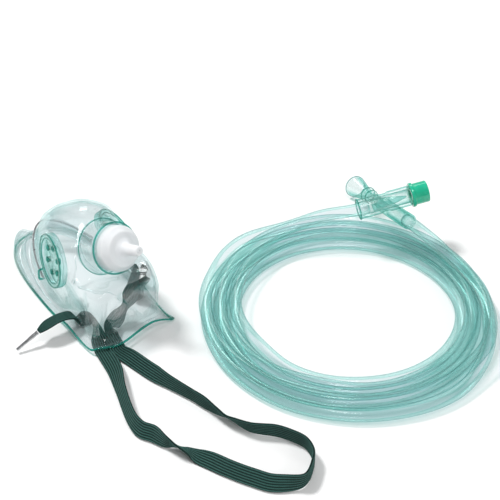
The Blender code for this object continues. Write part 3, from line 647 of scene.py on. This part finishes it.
# each row in millimetres: a point, and the way the strap's width runs there
strapRoute = [
    (-36.6, -24.5, 6.6, 0, 0.98, -0.2), (-31.6, -24.5, 8.4, 0, 0.98, -0.2), (-25.4, -24.5, 9, 0, 0.98, -0.2),
    (-19.6, -24.5, 7.4, 0, 1, -0.1), (-17.5, -24.5, 4.6, 0, 1, 0), (-17.3, -24.5, 2.8, 0, 1, 0),
    (-16, -24.5, 1.2, 0, 1, 0), (-13.6, -25.2, 1.7, -0.2, 0.8, 0.3), (-11.9, -28.2, 3.8, -0.2, 0.2, 0.9),
    (-12.6, -33.2, 4.3, 0.1, 0, 1), (-14.4, -38.6, 3.2, 0.6, -0.3, 0.7), (-15.8, -43.2, 1.1, 0.9, -0.4, 0),
    (-17.2, -48, 0.9, 0.9, -0.4, 0), (-17.5, -50.7, 1.14, 0.85, -0.5, 0.15),
    (-19.9, -62.3, 2.28, 0.7, -0.5, 0.5), (-24.6, -74.9, 3.34, 0.45, -0.34, 0.83),
    (-28.3, -85.5, 3.47, 0.4, -0.3, 0.87), (-30.4, -93.6, 3.48, 0.45, -0.2, 0.87),
    (-30.3, -99.8, 3.23, 0.6, 0.1, 0.79), (-27.7, -104.9, 3.28, 0.55, 0.2, 0.81),
    (-26.3, -111.8, 3.87, 0.1, -0.1, 0.99), (-24.3, -115.4, 3.44, -0.3, -0.42, 0.86),
    (-22, -119, 2.7, -0.47, -0.62, 0.63), (-19.1, -122.8, 1.04, -0.61, -0.79, 0.12),
    (-16.5, -129.8, 1.97, -0.76, -0.51, -0.41), (-14.2, -137, 3, -0.65, -0.24, -0.72),
    (-11.2, -143.2, 3, -0.65, -0.24, -0.72), (-8, -148.9, 3, -0.65, -0.24, -0.72),
    (-4.6, -154.4, 3, -0.65, -0.24, -0.72), (-0.3, -158.5, 3.4, -0.5, -0.2, -0.84),
    (4.7, -161.8, 3.82, -0.2, -0.1, -0.97), (8.5, -161.8, 3.9, 0, 0, -1), (13.4, -158.7, 3.9, 0, 0, -1),
    (17.9, -154.2, 3.9, 0, 0, -1), (19.5, -147.3, 3.9, 0, 0, -1), (17.1, -140.4, 3.9, 0, 0, -1),
    (13.7, -134.7, 3.9, 0, 0, -1), (9.8, -130.7, 3.89, 0.05, 0.06, -1), (6.6, -127.1, 3.84, 0.12, 0.15, -0.98),
    (4.4, -122.2, 3.61, 0.25, 0.33, -0.91), (2.7, -116, 3.08, 0.4, 0.53, -0.75),
    (0.9, -111, 3.64, 0.25, 0.3, -0.92), (-0.8, -103.5, 3.9, 0, 0, -1), (-2.4, -96.8, 3.9, 0, 0, -1),
    (-4.2, -90.4, 3.88, -0.1, 0, -1), (-6.3, -82.6, 3.75, -0.3, 0, -0.95),
    (-7.8, -74.5, 2.95, -0.71, -0.04, -0.71), (-9.3, -66, 2.67, -0.78, -0.04, -0.62),
    (-10.3, -58.9, 2.3, -0.9, 0, -0.42), (-11.6, -52.9, 2.05, -0.98, 0.05, -0.1), (-11.2, -50, 2.06, -1, 0, 0),
    (-10.4, -46, 2.08, -1, 0, 0), (-9.8, -42.4, 2.15, -0.8, 0.6, -0.04), (-8.6, -39.4, 3.4, 0.15, 0.85, -0.45),
    (-4, -37, 4.6, -0.43, 0.78, 0.45), (2.2, -36.2, 9.2, 0.2, 0.9, -0.3), (6.2, -35.8, 14.6, -0.5, 0.78, 0.39),
    (10.8, -35, 20.4, 0.2, 0.8, -0.45), (13.8, -32.8, 22.6, 0.3, 0.75, -0.6),
    (15.2, -28.8, 18.6, 0, 0.95, -0.2), (14.6, -25.8, 12, 0, 1, 0), (13.2, -24.7, 7, 0, 1, 0),
    (12.6, -24.5, 3.4, 0, 1, 0), (14.1, -24.5, 1.2, 0, 1, 0), (16.2, -24.5, 1.3, 0, 1, 0),
    (17.3, -24.5, 2.8, 0, 1, 0), (17.5, -24.5, 5, 0, 1, 0), (18.4, -24.4, 7.4, -0.1, 1, -0.1),
    (20.6, -23.2, 8.6, -0.4, 0.8, 0.2), (22.2, -19.6, 8, -0.4, 0.3, 0.8), (22, -15, 7, -0.1, 0, 1),
    (21.6, -9, 6.6, 0, 0, 1),
]
strapRows = np.array(strapRoute, float)
strapFine = wholeRun(strapRows, (len(strapRows) - 1) * strap["placesPerRow"] + 1)
strapFine[:, :3] /= 1000
strapEven = evenRun(strapFine, strap["step"])
strapPath = strapEven[:, :3]
strapAcross = strapEven[:, 3:]
# a place whose lower edge would pass under the floor goes up, by half the width times the slope and
# half the thickness, evened out over its neighbours
strapSlope = np.abs(unit(strapAcross)[:, 2])
sunk = strap["width"] / 2 * strapSlope + strap["thick"] / 2 + strap["floorGap"] - strapPath[:, 2]
spread = strap["spread"]
sunk = np.pad(np.maximum(sunk, 0), spread - 1, mode="edge")
widest = np.max([sunk[k:k + len(sunk) - spread + 1] for k in range(spread)], axis=0)
strapPath[:, 2] += np.convolve(widest, np.ones(spread) / spread, "valid")


def ribbedBand(width, thick, ribs, depth, points=10):
    # a flat band seen end on: both long faces wave by the cosine of their place across, the sides are round
    place = np.linspace(-0.5, 0.5, ribs * points + 1)
    wave = depth * (0.5 - 0.5 * np.cos(2 * math.pi * ribs * (place + 0.5)))
    half = thick / 2 - depth + wave
    half = half * np.sqrt(np.clip(1 - np.abs(2 * place) ** 14, 0, 1))
    top = np.stack([place * width, half], 1)
    bottom = np.stack([place[::-1] * width, -half[::-1]], 1)
    return np.concatenate([top[:-1], bottom[:-1]])


# the width falls to a share of itself over the last stretch before each tip
placeNumber = np.arange(len(strapPath))
fromEnd = np.minimum(placeNumber, placeNumber[::-1]) * strap["step"] / strap["taper"]
strapWidths = strap["endShare"] + (1 - strap["endShare"]) * np.sin(np.clip(fromEnd, 0, 1) * math.pi / 2)
# the groove colour is painted shade, and the pale colour is a painted highlight on the rib crests
elastic = elasticMaterial(
    "ribbed_green_elastic", ribPitch=strap["width"] / strap["ribs"], threadPitch=strap["threadPitch"],
    grooveShade=(0.001, 0.006, 0.005), dark=(0.014, 0.054, 0.046), pale=(0.048, 0.130, 0.112),
)
strapBand = ribbedBand(strap["width"], strap["thick"], strap["ribs"], strap["ribDepth"])
strapObj = carriedProfile("strap", elastic, strapPath, strapAcross, strapBand, strapWidths)

# Metal tips: crimped collar, then a thin round end; the outline as shares of radius and length
tip = dict(length=0.0122, radius=0.0010, gap=0.0003, endCurve=0.0004, round=0.0002)
tipShares = [(0.80, 0.45), (0.95, 0.38), (1, 0.2), (0.9, 0.12), (1, 0.05), (1, 0), (0, 0)]
for end, nextOne, name in ((0, 1, "near"), (-1, -2, "far")):
    away = unit(strapPath[end] - strapPath[nextOne])
    radius, long = tip["radius"], tip["length"]
    profile = [(0, long), (radius * 0.55, long), (radius * 0.72, long - tip["endCurve"])]
    profile += [(radius * across, long * along) for across, along in tipShares]
    outline = roundCorners(profile, tip["round"], 3)
    tipSpot = strapPath[end] + away * tip["gap"]
    tipObj = turnedPiece("strap_tip_" + name + "_skin", metal, outline, tipSpot, away, 32)
    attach(tipObj, "root")
    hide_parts("strap_tip_" + name)
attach(strapObj, "root")
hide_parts("head_strap")

# Face piece: each row is one level line from the rim edge up to the crown: half width, reach to nose,
# reach to chin, level of the widest point, squareness of nose end and chin end, height at side, nose and chin
sections = np.array([
    (0.0226, 0.0475, -0.0475, -0.0125, 2.9, 14.0, 0.0011, 0.0015, 0.0040),
    (0.0217, 0.0462, -0.0468, -0.0125, 2.9, 12.0, 0.0015, 0.0100, 0.0041),
    (0.0207, 0.0430, -0.0461, -0.0125, 2.7, 10.0, 0.0014, 0.0045, 0.0043),
    (0.0199, 0.0408, -0.0455, -0.0125, 2.4, 8.0, 0.0018, 0.0112, 0.0047),
    (0.0190, 0.0385, -0.0450, -0.0120, 2.1, 7.0, 0.0024, 0.0068, 0.0054),
    (0.0186, 0.0372, -0.0450, -0.0115, 1.8, 7.0, 0.0065, 0.0125, 0.0090),
    (0.0190, 0.0330, -0.0455, -0.0105, 1.7, 7.0, 0.0130, 0.0180, 0.0155),
    (0.0193, 0.0275, -0.0455, -0.0090, 1.75, 6.5, 0.0200, 0.0240, 0.0228),
    (0.0192, 0.0235, -0.0438, -0.0075, 1.8, 5.2, 0.0258, 0.0285, 0.0284),
    (0.0188, 0.0200, -0.0350, -0.0060, 1.9, 3.4, 0.0305, 0.0330, 0.0290),
    (0.0183, 0.0160, -0.0275, -0.0050, 2.0, 2.8, 0.0360, 0.0375, 0.0345),
    (0.0158, 0.0100, -0.0198, -0.0045, 2.0, 2.2, 0.0417, 0.0425, 0.0412),
    (0.0095, 0.0035, -0.0123, -0.0045, 2.0, 2.0, 0.0460, 0.0461, 0.0458),
    (0.0020, -0.0025, -0.0065, -0.0045, 2.0, 2.0, 0.0478, 0.0478, 0.0478),
])
# earShares and dips hold one number for each section: how far the ears cut in and how deep the nose flange dips
shellLook = dict(
    sides=300, rowsPerSection=10, wall=0.0011, bead=0.00055, beadSides=10, crownLift=0.0002,
    noseClimb=2.2, chinClimb=1.1, earY=-0.0245, earLift=0.0024, earLiftTop=0.0120, earCutIn=0.0038,
    earSpread=0.0085, earShares=(0, 0.05, 0.25, 0.6, 0.95, 1, 0.7, 0.25, 0, 0, 0, 0, 0, 0),
    dips=(0, 0.66, 0.3, 0.28, 0.1, 0, 0, 0, 0, 0, 0, 0, 0, 0), dipWidth=0.0055,
)


def levelLines(sides):
    # every section at once: the ring |x|^p + |y|^p = 1 with its own nose and chin halves,
    # lifted and cut in at the ears, and lower in the middle of the nose flange
    look = shellLook
    halfWidth, noseReach, chinReach, middle, nosePower, chinPower, sideZ, noseZ, chinZ = sections.T[:, :, None]
    turn = np.arange(sides)[None] * 2 * math.pi / sides
    across, along = np.cos(turn), np.sin(turn)
    toNose = along >= 0
    reach = np.where(toNose, noseReach - middle, middle - chinReach)
    power = np.where(toNose, nosePower, chinPower)
    size = (np.abs(across) ** power + np.abs(along) ** power) ** (-1 / power)
    endZ = np.where(toNose, noseZ, chinZ)
    climb = np.where(toNose, look["noseClimb"], look["chinClimb"])
    height = sideZ + (endZ - sideZ) * np.abs(along) ** climb
    level = middle + reach * along * size
    low = np.clip(1 - height / look["earLiftTop"], 0, 1)
    nearEar = np.exp(-(((level - look["earY"]) / look["earSpread"]) ** 2)) * np.abs(across) ** 0.5
    cut = np.array(look["earShares"])[:, None]
    side = halfWidth * across * size - np.sign(across) * look["earCutIn"] * cut * nearEar
    dip = np.array(look["dips"])[:, None] * np.exp(-((side / look["dipWidth"]) ** 2)) * toNose
    height = height * (1 - dip)
    return np.stack([side, level, height + look["earLift"] * low * nearEar], -1)


# the chin rim waves: for places across in mm, how far it moves towards the chin and up;
# the move fades out over the first sections
chinWave = dict(
    x=(-22.6, -20.0, -17.0, -14.0, -11.0, -8.0, -5.0, 0.0, 4.5, 8.0, 11.0, 15.0, 19.0, 22.6),
    out=(0.5, -0.6, 0.2, 1.8, 2.9, 3.0, 2.6, 1.4, 0.4, -0.2, -0.3, 0.4, 1.4, 2.2),
    up=(0.0, 0.0, 0.0, 0.0, 0.0, 0.0, 0.0, 0.0, 0.2, 0.3, 0.2, -0.4, -1.6, -2.9),
    fade=4.0, fadePower=1.4, fromY=-0.030, fullY=-0.044, places=131,
    tuck=0.0034, tuckFrom=-0.0455, tuckTo=-0.012, tuckPower=0.6, tuckFullX=0.012,
)


def wavedChin(rows):
    # moves the lines near the rim by the table above, full at the rim, none from the fade's section up
    wave = chinWave
    section = np.linspace(0, len(sections) - 1, len(rows))[:, None]
    rimShare = np.clip(1 - section / wave["fade"], 0, 1) ** wave["fadePower"]
    x, y = rows[..., 0], rows[..., 1]
    share = rimShare * np.clip((y - wave["fromY"]) / (wave["fullY"] - wave["fromY"]), 0, 1) ** 2
    table = wholeRun(np.stack([wave["x"], wave["out"], wave["up"]], 1), wave["places"])
    moved = rows.copy()
    moved[..., 1] -= share * np.interp(x * 1000, table[:, 0], table[:, 1]) / 1000
    moved[..., 2] += share * np.interp(x * 1000, table[:, 0], table[:, 2]) / 1000
    # the rim of the far side is pressed in between the chin corner and the ear
    place = np.clip((y - wave["tuckFrom"]) / (wave["tuckTo"] - wave["tuckFrom"]), 0, 1)
    tucked = rimShare * wave["tuck"] * np.sin(math.pi * place ** wave["tuckPower"])
    moved[..., 0] -= tucked * np.clip(x / wave["tuckFullX"], 0, 1)
    return moved


# creases of the soft wall: how far each stands out, its half width and its run of points, in mm
creases = [
    (0.7, 0.9, [
        (-18.1, -28.6, 28.5), (-17.1, -32.9, 28.5), (-15.9, -36.3, 28.5), (-13.8, -39.8, 28.4),
        (-11.4, -42, 28.4), (-8.9, -42.7, 28.5),
    ]),
    (0.6, 0.8, [
        (-8.9, -42.7, 28.5), (-7.5, -44.3, 27.8), (-5.2, -45.4, 23.7), (-2.1, -45.6, 19), (2.1, -45.4, 13.9),
        (6.3, -45, 8.1),
    ]),
    (-0.9, 1.5, [
        (-17.4, -31, 28.6), (-12.8, -31.4, 30.2), (-8.3, -32, 30.9), (-3.7, -33.2, 30.1), (-0.4, -34.9, 29.1),
    ]),
    (-0.8, 1.6, [(-18.5, -35, 26.5), (-18.8, -35.1, 22.5), (-18.4, -33.6, 17), (-17.8, -32.7, 13.5)]),
    (0.7, 0.9, [
        (-13, -22.3, 36.1), (-13.9, -24.4, 34), (-15.3, -25.9, 31.7), (-16.8, -27, 29.5), (-18.2, -29.5, 28.3),
    ]),
    (1.2, 1.3, [(-18.2, -29, 28.5), (-18.1, -29.8, 28.3)]),
    (0.45, 0.55, [
        (-15.7, -3.2, 41.7), (-15.2, -9.5, 41.6), (-14.2, -13.5, 40.8), (-12.6, -14.7, 41.4),
        (-12.2, -18.7, 39.1), (-10.8, -19.2, 39.5),
    ]),
    (0.5, 0.7, [(-18.6, -18, 30.6), (-18.6, -18.3, 30.4)]),
]
# slow waves of the wall, fading in above the rim: each row is waves per metre in x, y, z, a phase and a size in mm
slowWaves = [
    (38, 61, 22, 0.4, 0.16), (-71, 45, 52, 1.9, 0.13), (24, -33, 91, 4.1, 0.12), (112, 84, -66, 2.7, 0.07),
]
waveFade = dict(low=0.004, height=0.010)


def outward(rows):
    # unit normals of a grid whose rows run round from +X and climb
    return unit(np.cross(np.gradient(rows, axis=1), np.gradient(rows, axis=0)) + 1e-15)


def creased(rows):
    # every point moves along its normal: by a bell curve of its distance to each crease, and by the slow waves
    flat = rows.reshape(-1, 3)
    push = np.zeros(len(flat))
    for height, width, run in creases:
        run = np.array(run) / 1000
        nearest = np.full(len(flat), 1.0)
        for a, b in zip(run[:-1], run[1:]):
            along = np.clip(((flat - a) @ (b - a)) / ((b - a) @ (b - a)), 0, 1)
            nearest = np.minimum(nearest, np.linalg.norm(flat - a - along[:, None] * (b - a), axis=1))
        push += height / 1000 * np.exp(-((nearest * 1000 / width) ** 2))
    fade = np.clip((flat[:, 2] - waveFade["low"]) / waveFade["height"], 0, 1)
    for x, y, z, phase, size in slowWaves:
        push += size / 1000 * np.sin(flat @ np.array([x, y, z]) * 2 * math.pi + phase) * fade
    return rows + outward(rows) * push.reshape(rows.shape[:2])[..., None]


def addWall(obj, thickness, offset):
    wall = obj.modifiers.new("wall", "SOLIDIFY")
    wall.thickness = thickness
    wall.offset = offset
    return wall


sides = shellLook["sides"]
lines = levelLines(sides)
rowCount = (len(sections) - 1) * shellLook["rowsPerSection"] + 1
shellRows = creased(wavedChin(wholeRun(lines, rowCount)))
crownPoint = shellRows[-1].mean(0) + np.array([0, 0, shellLook["crownLift"]])
shellPoints = np.concatenate([shellRows.reshape(-1, 3), crownPoint[None]])
shellFaces = gridFaces(rowCount, sides, wrapCols=True)
shellFaces += fanFaces((rowCount - 1) * sides, sides, rowCount * sides)
shellObj = addPiece("facepiece", vinyl, shellPoints, shellFaces)
shellObj.data.materials.append(vinylRim)
# the rim bead: a small circle carried round the rim edge, in the middle of the wall
rimPath = shellRows[0] + outward(shellRows)[0] * -shellLook["wall"] / 2
rimAway = unit(shellRows[0] - shellRows[2])
rimUp = unit(np.cross(unit(np.roll(rimPath, -1, 0) - np.roll(rimPath, 1, 0)), rimAway))
rimRound = circlePoints(shellLook["beadSides"])[None]
rimOut = rimRound[..., :1] * rimAway[:, None] + rimRound[..., 1:] * rimUp[:, None]
rimFaces = gridFaces(len(rimPath), shellLook["beadSides"], wrapRows=True, wrapCols=True)
rimObj = addPiece("facepiece_rim", vinylRim, rimPath[:, None] + shellLook["bead"] * rimOut, rimFaces)
faceOutward(rimObj)
shellWall = addWall(shellObj, shellLook["wall"], -1)
shellWall.use_even_offset = True
shellWall.material_offset_rim = 1
print("face piece wall made", len(shellFaces))


def cylinderCutter(name, radius, low, high, origin, axis, sides=96):
    made = turnedPiece(name, None, [(0, high), (radius, high), (radius, low), (0, low)], origin, axis, sides)
    made.hide_render = True
    cutters.append(made)
    return made


def cutWith(target, cutter):
    made = target.modifiers.new(cutter.name, "BOOLEAN")
    made.operation = "DIFFERENCE"
    made.object = cutter


def applyAll(obj):
    # the object's modifiers worked into its mesh
    bpy.context.view_layer.update()
    graph = bpy.context.evaluated_depsgraph_get()
    shown = obj.evaluated_get(graph)
    mesh = bpy.data.meshes.new_from_object(shown, preserve_all_data_layers=True, depsgraph=graph)
    obj.modifiers.clear()
    obj.data = mesh
    mesh.polygons.foreach_set("use_smooth", np.ones(len(mesh.polygons), bool))


# Vent plates: a round plate with a raised ring and six holes on each side, turned and raised in degrees
vent = dict(
    centre=(0.0172, -0.0075, 0.0275), farIn=0.0006, turn=8, rise=8, outer=0.0129, ring=0.0021, proud=0.0014,
    plate=0.0011, skirt=0.0022, skirtWall=0.0012, windowDepth=0.0055, hole=0.0011, holeCircle=0.0066, holes=6,
    holeDepth=0.003, bead=0.00036, innerBead=0.7, lining=0.0014, liningIn=0.0001, liningOut=0.0003,
)
earSlot = dict(x=0.0174, y=-0.0245, z=0.003, farIn=0.0012, half=(0.0009, 0.0044, 0.0066))
boxFaces = [(0, 2, 3, 1), (4, 5, 7, 6), (0, 1, 5, 4), (2, 6, 7, 3), (0, 4, 6, 2), (1, 3, 7, 5)]
cutters = []
ventPieces = []


def ventSide(side, name):
    # the plate with its holes, its two bead rings and the linings of the holes; gives its window's cutter
    turn, rise = math.radians(vent["turn"]), math.radians(vent["rise"])
    axis = np.array([side * math.cos(turn) * math.cos(rise), math.sin(turn) * math.cos(rise), math.sin(rise)])
    x, y, z = vent["centre"]
    centre = np.array([side * (x - vent["farIn"] * (side > 0)), y, z])
    outer, proud, skirt = vent["outer"], vent["proud"], vent["skirt"]
    inner = outer - vent["ring"]
    skirtIn = outer - vent["skirtWall"]
    depth = vent["windowDepth"]
    window = cylinderCutter("vent_window_" + name, outer - vent["skirtWall"] / 2, -depth, depth, centre, axis)
    profile = [
        (0, 0), (inner - 0.0004, 0), (inner, proud), (outer - 0.0002, proud), (outer, proud - 0.0005),
        (outer, -skirt), (skirtIn, -skirt), (skirtIn, -vent["plate"]), (0, -vent["plate"]),
    ]
    plate = turnedPiece("vent_plate_" + name, ventVinyl, roundCorners(profile, 0.0004, 3), centre, axis)
    x, y, _ = axisFrame(axis)
    angles = [2 * math.pi * (k + 0.5) / vent["holes"] for k in range(vent["holes"])]
    spots = [centre + vent["holeCircle"] * (math.cos(angle) * x + math.sin(angle) * y) for angle in angles]
    hole, depth = vent["hole"], vent["holeDepth"]
    for k, spot in enumerate(spots):
        cutWith(plate, cylinderCutter("vent_hole_%s_%d" % (name, k), hole, -depth, depth, spot, axis, 32))
    applyAll(plate)
    ventPieces.append(plate)
    wire = vent["bead"]
    beads = ((outer - 0.0004, proud - 0.0002, wire), (inner, proud - 0.0003, wire * vent["innerBead"]))
    for radius, height, wire in beads:
        beadName = "vent_bead_%s_%d" % (name, radius * 1e5)
        ventPieces.append(beadRing(beadName, vinylRim, radius, height, wire, centre, axis))
    inside, outside = hole - vent["liningIn"], hole + vent["liningOut"]
    top, low = 0.0003, -vent["lining"]
    for k, spot in enumerate(spots):
        outline = [(inside, top), (outside, top), (outside, low), (inside, low)]
        ventPieces.append(turnedPiece("vent_lining_%s_%d" % (name, k), vinylRim, outline, spot, axis, 24))
    return window


def slotCutter(side, name):
    # a box through the wall at the ear
    spot = (side * earSlot["x"] - (side > 0) * earSlot["farIn"], earSlot["y"], earSlot["z"])
    corners = np.array([(a, b, c) for c in (-1, 1) for b in (-1, 1) for a in (-1, 1)], float)
    made = addPiece("ear_slot_" + name, None, corners * earSlot["half"] + spot, boxFaces, smooth=False)
    made.hide_render = True
    cutters.append(made)
    return made


for side, name in ((-1, "near"), (1, "far")):
    cutWith(shellObj, ventSide(side, name))
    cutWith(shellObj, slotCutter(side, name))

# Port neck: a short tube at the front of the crown, with a thin bead at its lip and one at its root
port = dict(
    crown=(0.0, -0.0045, 0.0272), turn=9, rise=24.5, root=0.0127, rootEnd=0.0170, lip=0.0120, front=0.0278,
    wall=0.0013, base=0.0150, bore=0.0107, round=0.0005, lipBead=0.00040, rootBead=0.00024,
    cutLow=0.0100, cutHigh=0.0290,
)
portSpot = (port["crown"], raisedWay(port["turn"], port["rise"]))
root, lip, bore, base, front, rootEnd = (port[key] for key in ("root", "lip", "bore", "base", "front", "rootEnd"))
neckLoop = roundLoop([
    (bore, front), (lip, front), (lip + 0.0001, front - 0.0035), (root - 0.0005, rootEnd + 0.0018),
    (root, rootEnd), (root, base), (root - port["wall"], base), (bore + 0.0002, front - 0.0040),
], port["round"])
neckObj = turnedPiece("port_neck", vinyl, neckLoop, *portSpot)
neckRings = [
    beadRing("neck_bead_front", vinylRim, lip - 0.0003, front - 0.0002, port["lipBead"], *portSpot, 120),
    beadRing("neck_bead_root", vinylRim, root + 0.0002, rootEnd + 0.0004, port["rootBead"], *portSpot, 120),
]
cutRadius = root - port["wall"] / 2
cutWith(shellObj, cylinderCutter("port_bore", cutRadius, port["cutLow"], port["cutHigh"], *portSpot))
applyAll(shellObj)
for cutter in cutters:
    bpy.data.objects.remove(cutter, do_unlink=True)
print("vents, slots and port cut", len(shellObj.data.polygons))

# Port cap and nipple
cap = dict(
    outer=0.0104, wall=0.0013, seat=0.0235, shoulder=0.0318, face=0.0348, faceRadius=0.0081, tip=0.0462,
    nipple=0.0023, bore=0.0005, round=0.0007,
)
outer, nipple, face, shoulder = cap["outer"], cap["nipple"], cap["face"], cap["shoulder"]
inside = outer - cap["wall"]
capLoop = roundLoop([
    (cap["bore"], cap["tip"]), (nipple - 0.0003, cap["tip"]), (nipple, cap["tip"] - 0.0010),
    (nipple + 0.0002, face + 0.0070), (nipple + 0.0004, face + 0.0036), (nipple + 0.0012, face + 0.0015),
    (nipple + 0.0030, face + 0.0003), (cap["faceRadius"], face), (outer - 0.0010, shoulder + 0.0010),
    (outer, shoulder), (outer, cap["seat"]), (inside, cap["seat"]), (inside, shoulder - 0.0004),
    (cap["faceRadius"] - 0.0006, face - cap["wall"] - 0.0004), (cap["bore"], face - cap["wall"]),
], cap["round"])
capObj = turnedPiece("cap", milky, capLoop, *portSpot, 128)
print("cap made")

# Nose clip: a thin strip that follows the wall over the nose, and two keeper wires
clip = dict(
    row=5.48, span=0.19, rows=9, lift=0.0003, thick=0.0008, edge=0.0002, reach=60, keeper=57, wire=0.0005,
    keeperGap=0.0006, keeperPast=0.42, keeperStep=0.0003, keeperPlaces=61,
)
noseColumn = sides // 4
clipRows = throughRows(lines, clip["row"] + clip["span"] * np.linspace(0, 1, clip["rows"]))
clipOut = outward(clipRows)
clipCols = np.arange(noseColumn - clip["reach"], noseColumn + clip["reach"] + 1)
clipBase = (clipRows + clipOut * clip["lift"])[:, clipCols]
clipObj = addPiece("nose_clip_strip", metal, clipBase, gridFaces(clip["rows"], len(clipCols)))
addWall(clipObj, clip["thick"], 1)
bevel = clipObj.modifiers.new("edge", "BEVEL")
bevel.width = clip["edge"]
bevel.segments = 2
keeperObjs = []
keeperRows = [clip["row"] - clip["keeperPast"], clip["row"] + clip["span"] + clip["keeperPast"]]
rise = clip["keeperGap"] + clip["thick"] + clip["wire"]
# the wire's bend: share of the way across the strip, and height above the wall
keeperBend = [
    (0.0, -0.0005), (0.0, rise * 0.6), (0.12, rise), (0.5, rise * 1.05), (0.88, rise), (1.0, rise * 0.6),
    (1.0, -0.0005),
]
for side, name in ((1, "far"), (-1, "near")):
    column = noseColumn - side * clip["keeper"]
    low, high = throughRows(lines, keeperRows)[:, column]
    out = clipOut[clip["rows"] // 2, column]
    bend = np.array([low + (high - low) * share + out * lift for share, lift in keeperBend])
    bend = evenRun(wholeRun(bend, clip["keeperPlaces"]), clip["keeperStep"])
    wire = clip["wire"] * circlePoints(wireSides)
    keeperObjs.append(carriedProfile("clip_keeper_" + name, vinylRim, bend, np.cross(out, high - low), wire))

for obj, slotName in (
    (shellObj, "clear_green_vinyl"), (neckObj, "clear_green_vinyl"),
    (capObj, "milky_polythene"), (clipObj, "bare_aluminium"),
):
    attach(obj, "root")
for obj in ventPieces + keeperObjs + neckRings + [rimObj]:
    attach(obj, "root")
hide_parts("facepiece_shell")
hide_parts("port_cap")
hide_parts("nose_clip")
print("nose clip made")

# Studio: a matt floor that turns plain white far from the object, an even sky and four oval lamps
studio = dict(
    floor=0.88, seenFloor=0.98, floorReach=3.0, fade=(0.25, 0.50), fadeCentre=(0.055, -0.060, 0.0),
    worldLight=0.28, aim=(0.05, -0.06, 0.0),
)
# each lamp: direction from the aim, distance, size, power, and whether glossy surfaces show it
lamps = dict(
    key=((-0.20, 0.50, 0.84), 2.0, (0.40, 0.40), 27.0, False),
    shine=((-0.10, -0.20, 1.0), 1.05, (0.26, 0.26), 1.9, True),
    back=((0.40, 0.60, 0.70), 1.15, (0.40, 0.30), 1.1, True),
    front=((0.10, -0.90, 0.40), 2.0, (1.2, 0.9), 10.5, False),
)


def floorMaterial(name):
    # rays that reach the eye see the floor a little paler, and white by its own light past the fade
    made, tree = nodeMaterial(name)
    seen = seenShare(tree, "Is Camera Ray", "Is Glossy Ray", "Is Transmission Ray")
    shade = rangeNode(tree, seen, To_Min=studio["floor"], To_Max=studio["seenFloor"])
    matt = addNode(tree, "ShaderNodeBsdfDiffuse", Color=shade)
    spot = tree.nodes.new("ShaderNodeTexCoord").outputs["Object"]
    away = addNode(tree, "ShaderNodeVectorMath", spot, studio["fadeCentre"])
    away.operation = "DISTANCE"
    start, end = studio["fade"]
    far = addNode(tree, "ShaderNodeMapRange", Value=away.outputs["Value"], From_Min=start, From_Max=end)
    far.interpolation_type = "SMOOTHSTEP"
    farSeen = mathNode(tree, "MULTIPLY", far.outputs["Result"], seen)
    white = addNode(tree, "ShaderNodeEmission", Color=plainWhite, Strength=1.0)
    finishMaterial(tree, mixNode(tree, farSeen, matt, white))
    return made


def softLight(name, towards, reach, size, power, mirrored):
    # an oval lamp at a distance along a direction, facing the aim
    lamp = bpy.data.lights.new(name, "AREA")
    lamp.shape = "ELLIPSE"
    lamp.size, lamp.size_y = size
    lamp.energy = power
    obj = linkNew(name, lamp)
    x, y, z = axisFrame(towards)
    placeFrame(obj, x, y, z, np.array(studio["aim"]) + z * reach)
    obj.visible_glossy = mirrored


reach = studio["floorReach"]
floorCorners = [(-reach, -reach, 0), (reach, -reach, 0), (reach, reach, 0), (-reach, reach, 0)]
floorObj = addPiece("floor", floorMaterial("floor_white"), floorCorners, [(0, 1, 2, 3)])

world = bpy.data.worlds.new("studio")
bpy.context.scene.world = world
world.use_nodes = True
tree = world.node_tree
tree.nodes.clear()
soft = addNode(tree, "ShaderNodeBackground", Color=plainWhite, Strength=studio["worldLight"])
plain = addNode(tree, "ShaderNodeBackground", Color=plainWhite, Strength=1.0)
sky = mixNode(tree, seenShare(tree, "Is Camera Ray", "Is Transmission Ray"), soft, plain)
addNode(tree, "ShaderNodeOutputWorld", Surface=sky.outputs[0])
for name, lamp in lamps.items():
    softLight(name, *lamp)
print("floor and lights placed")
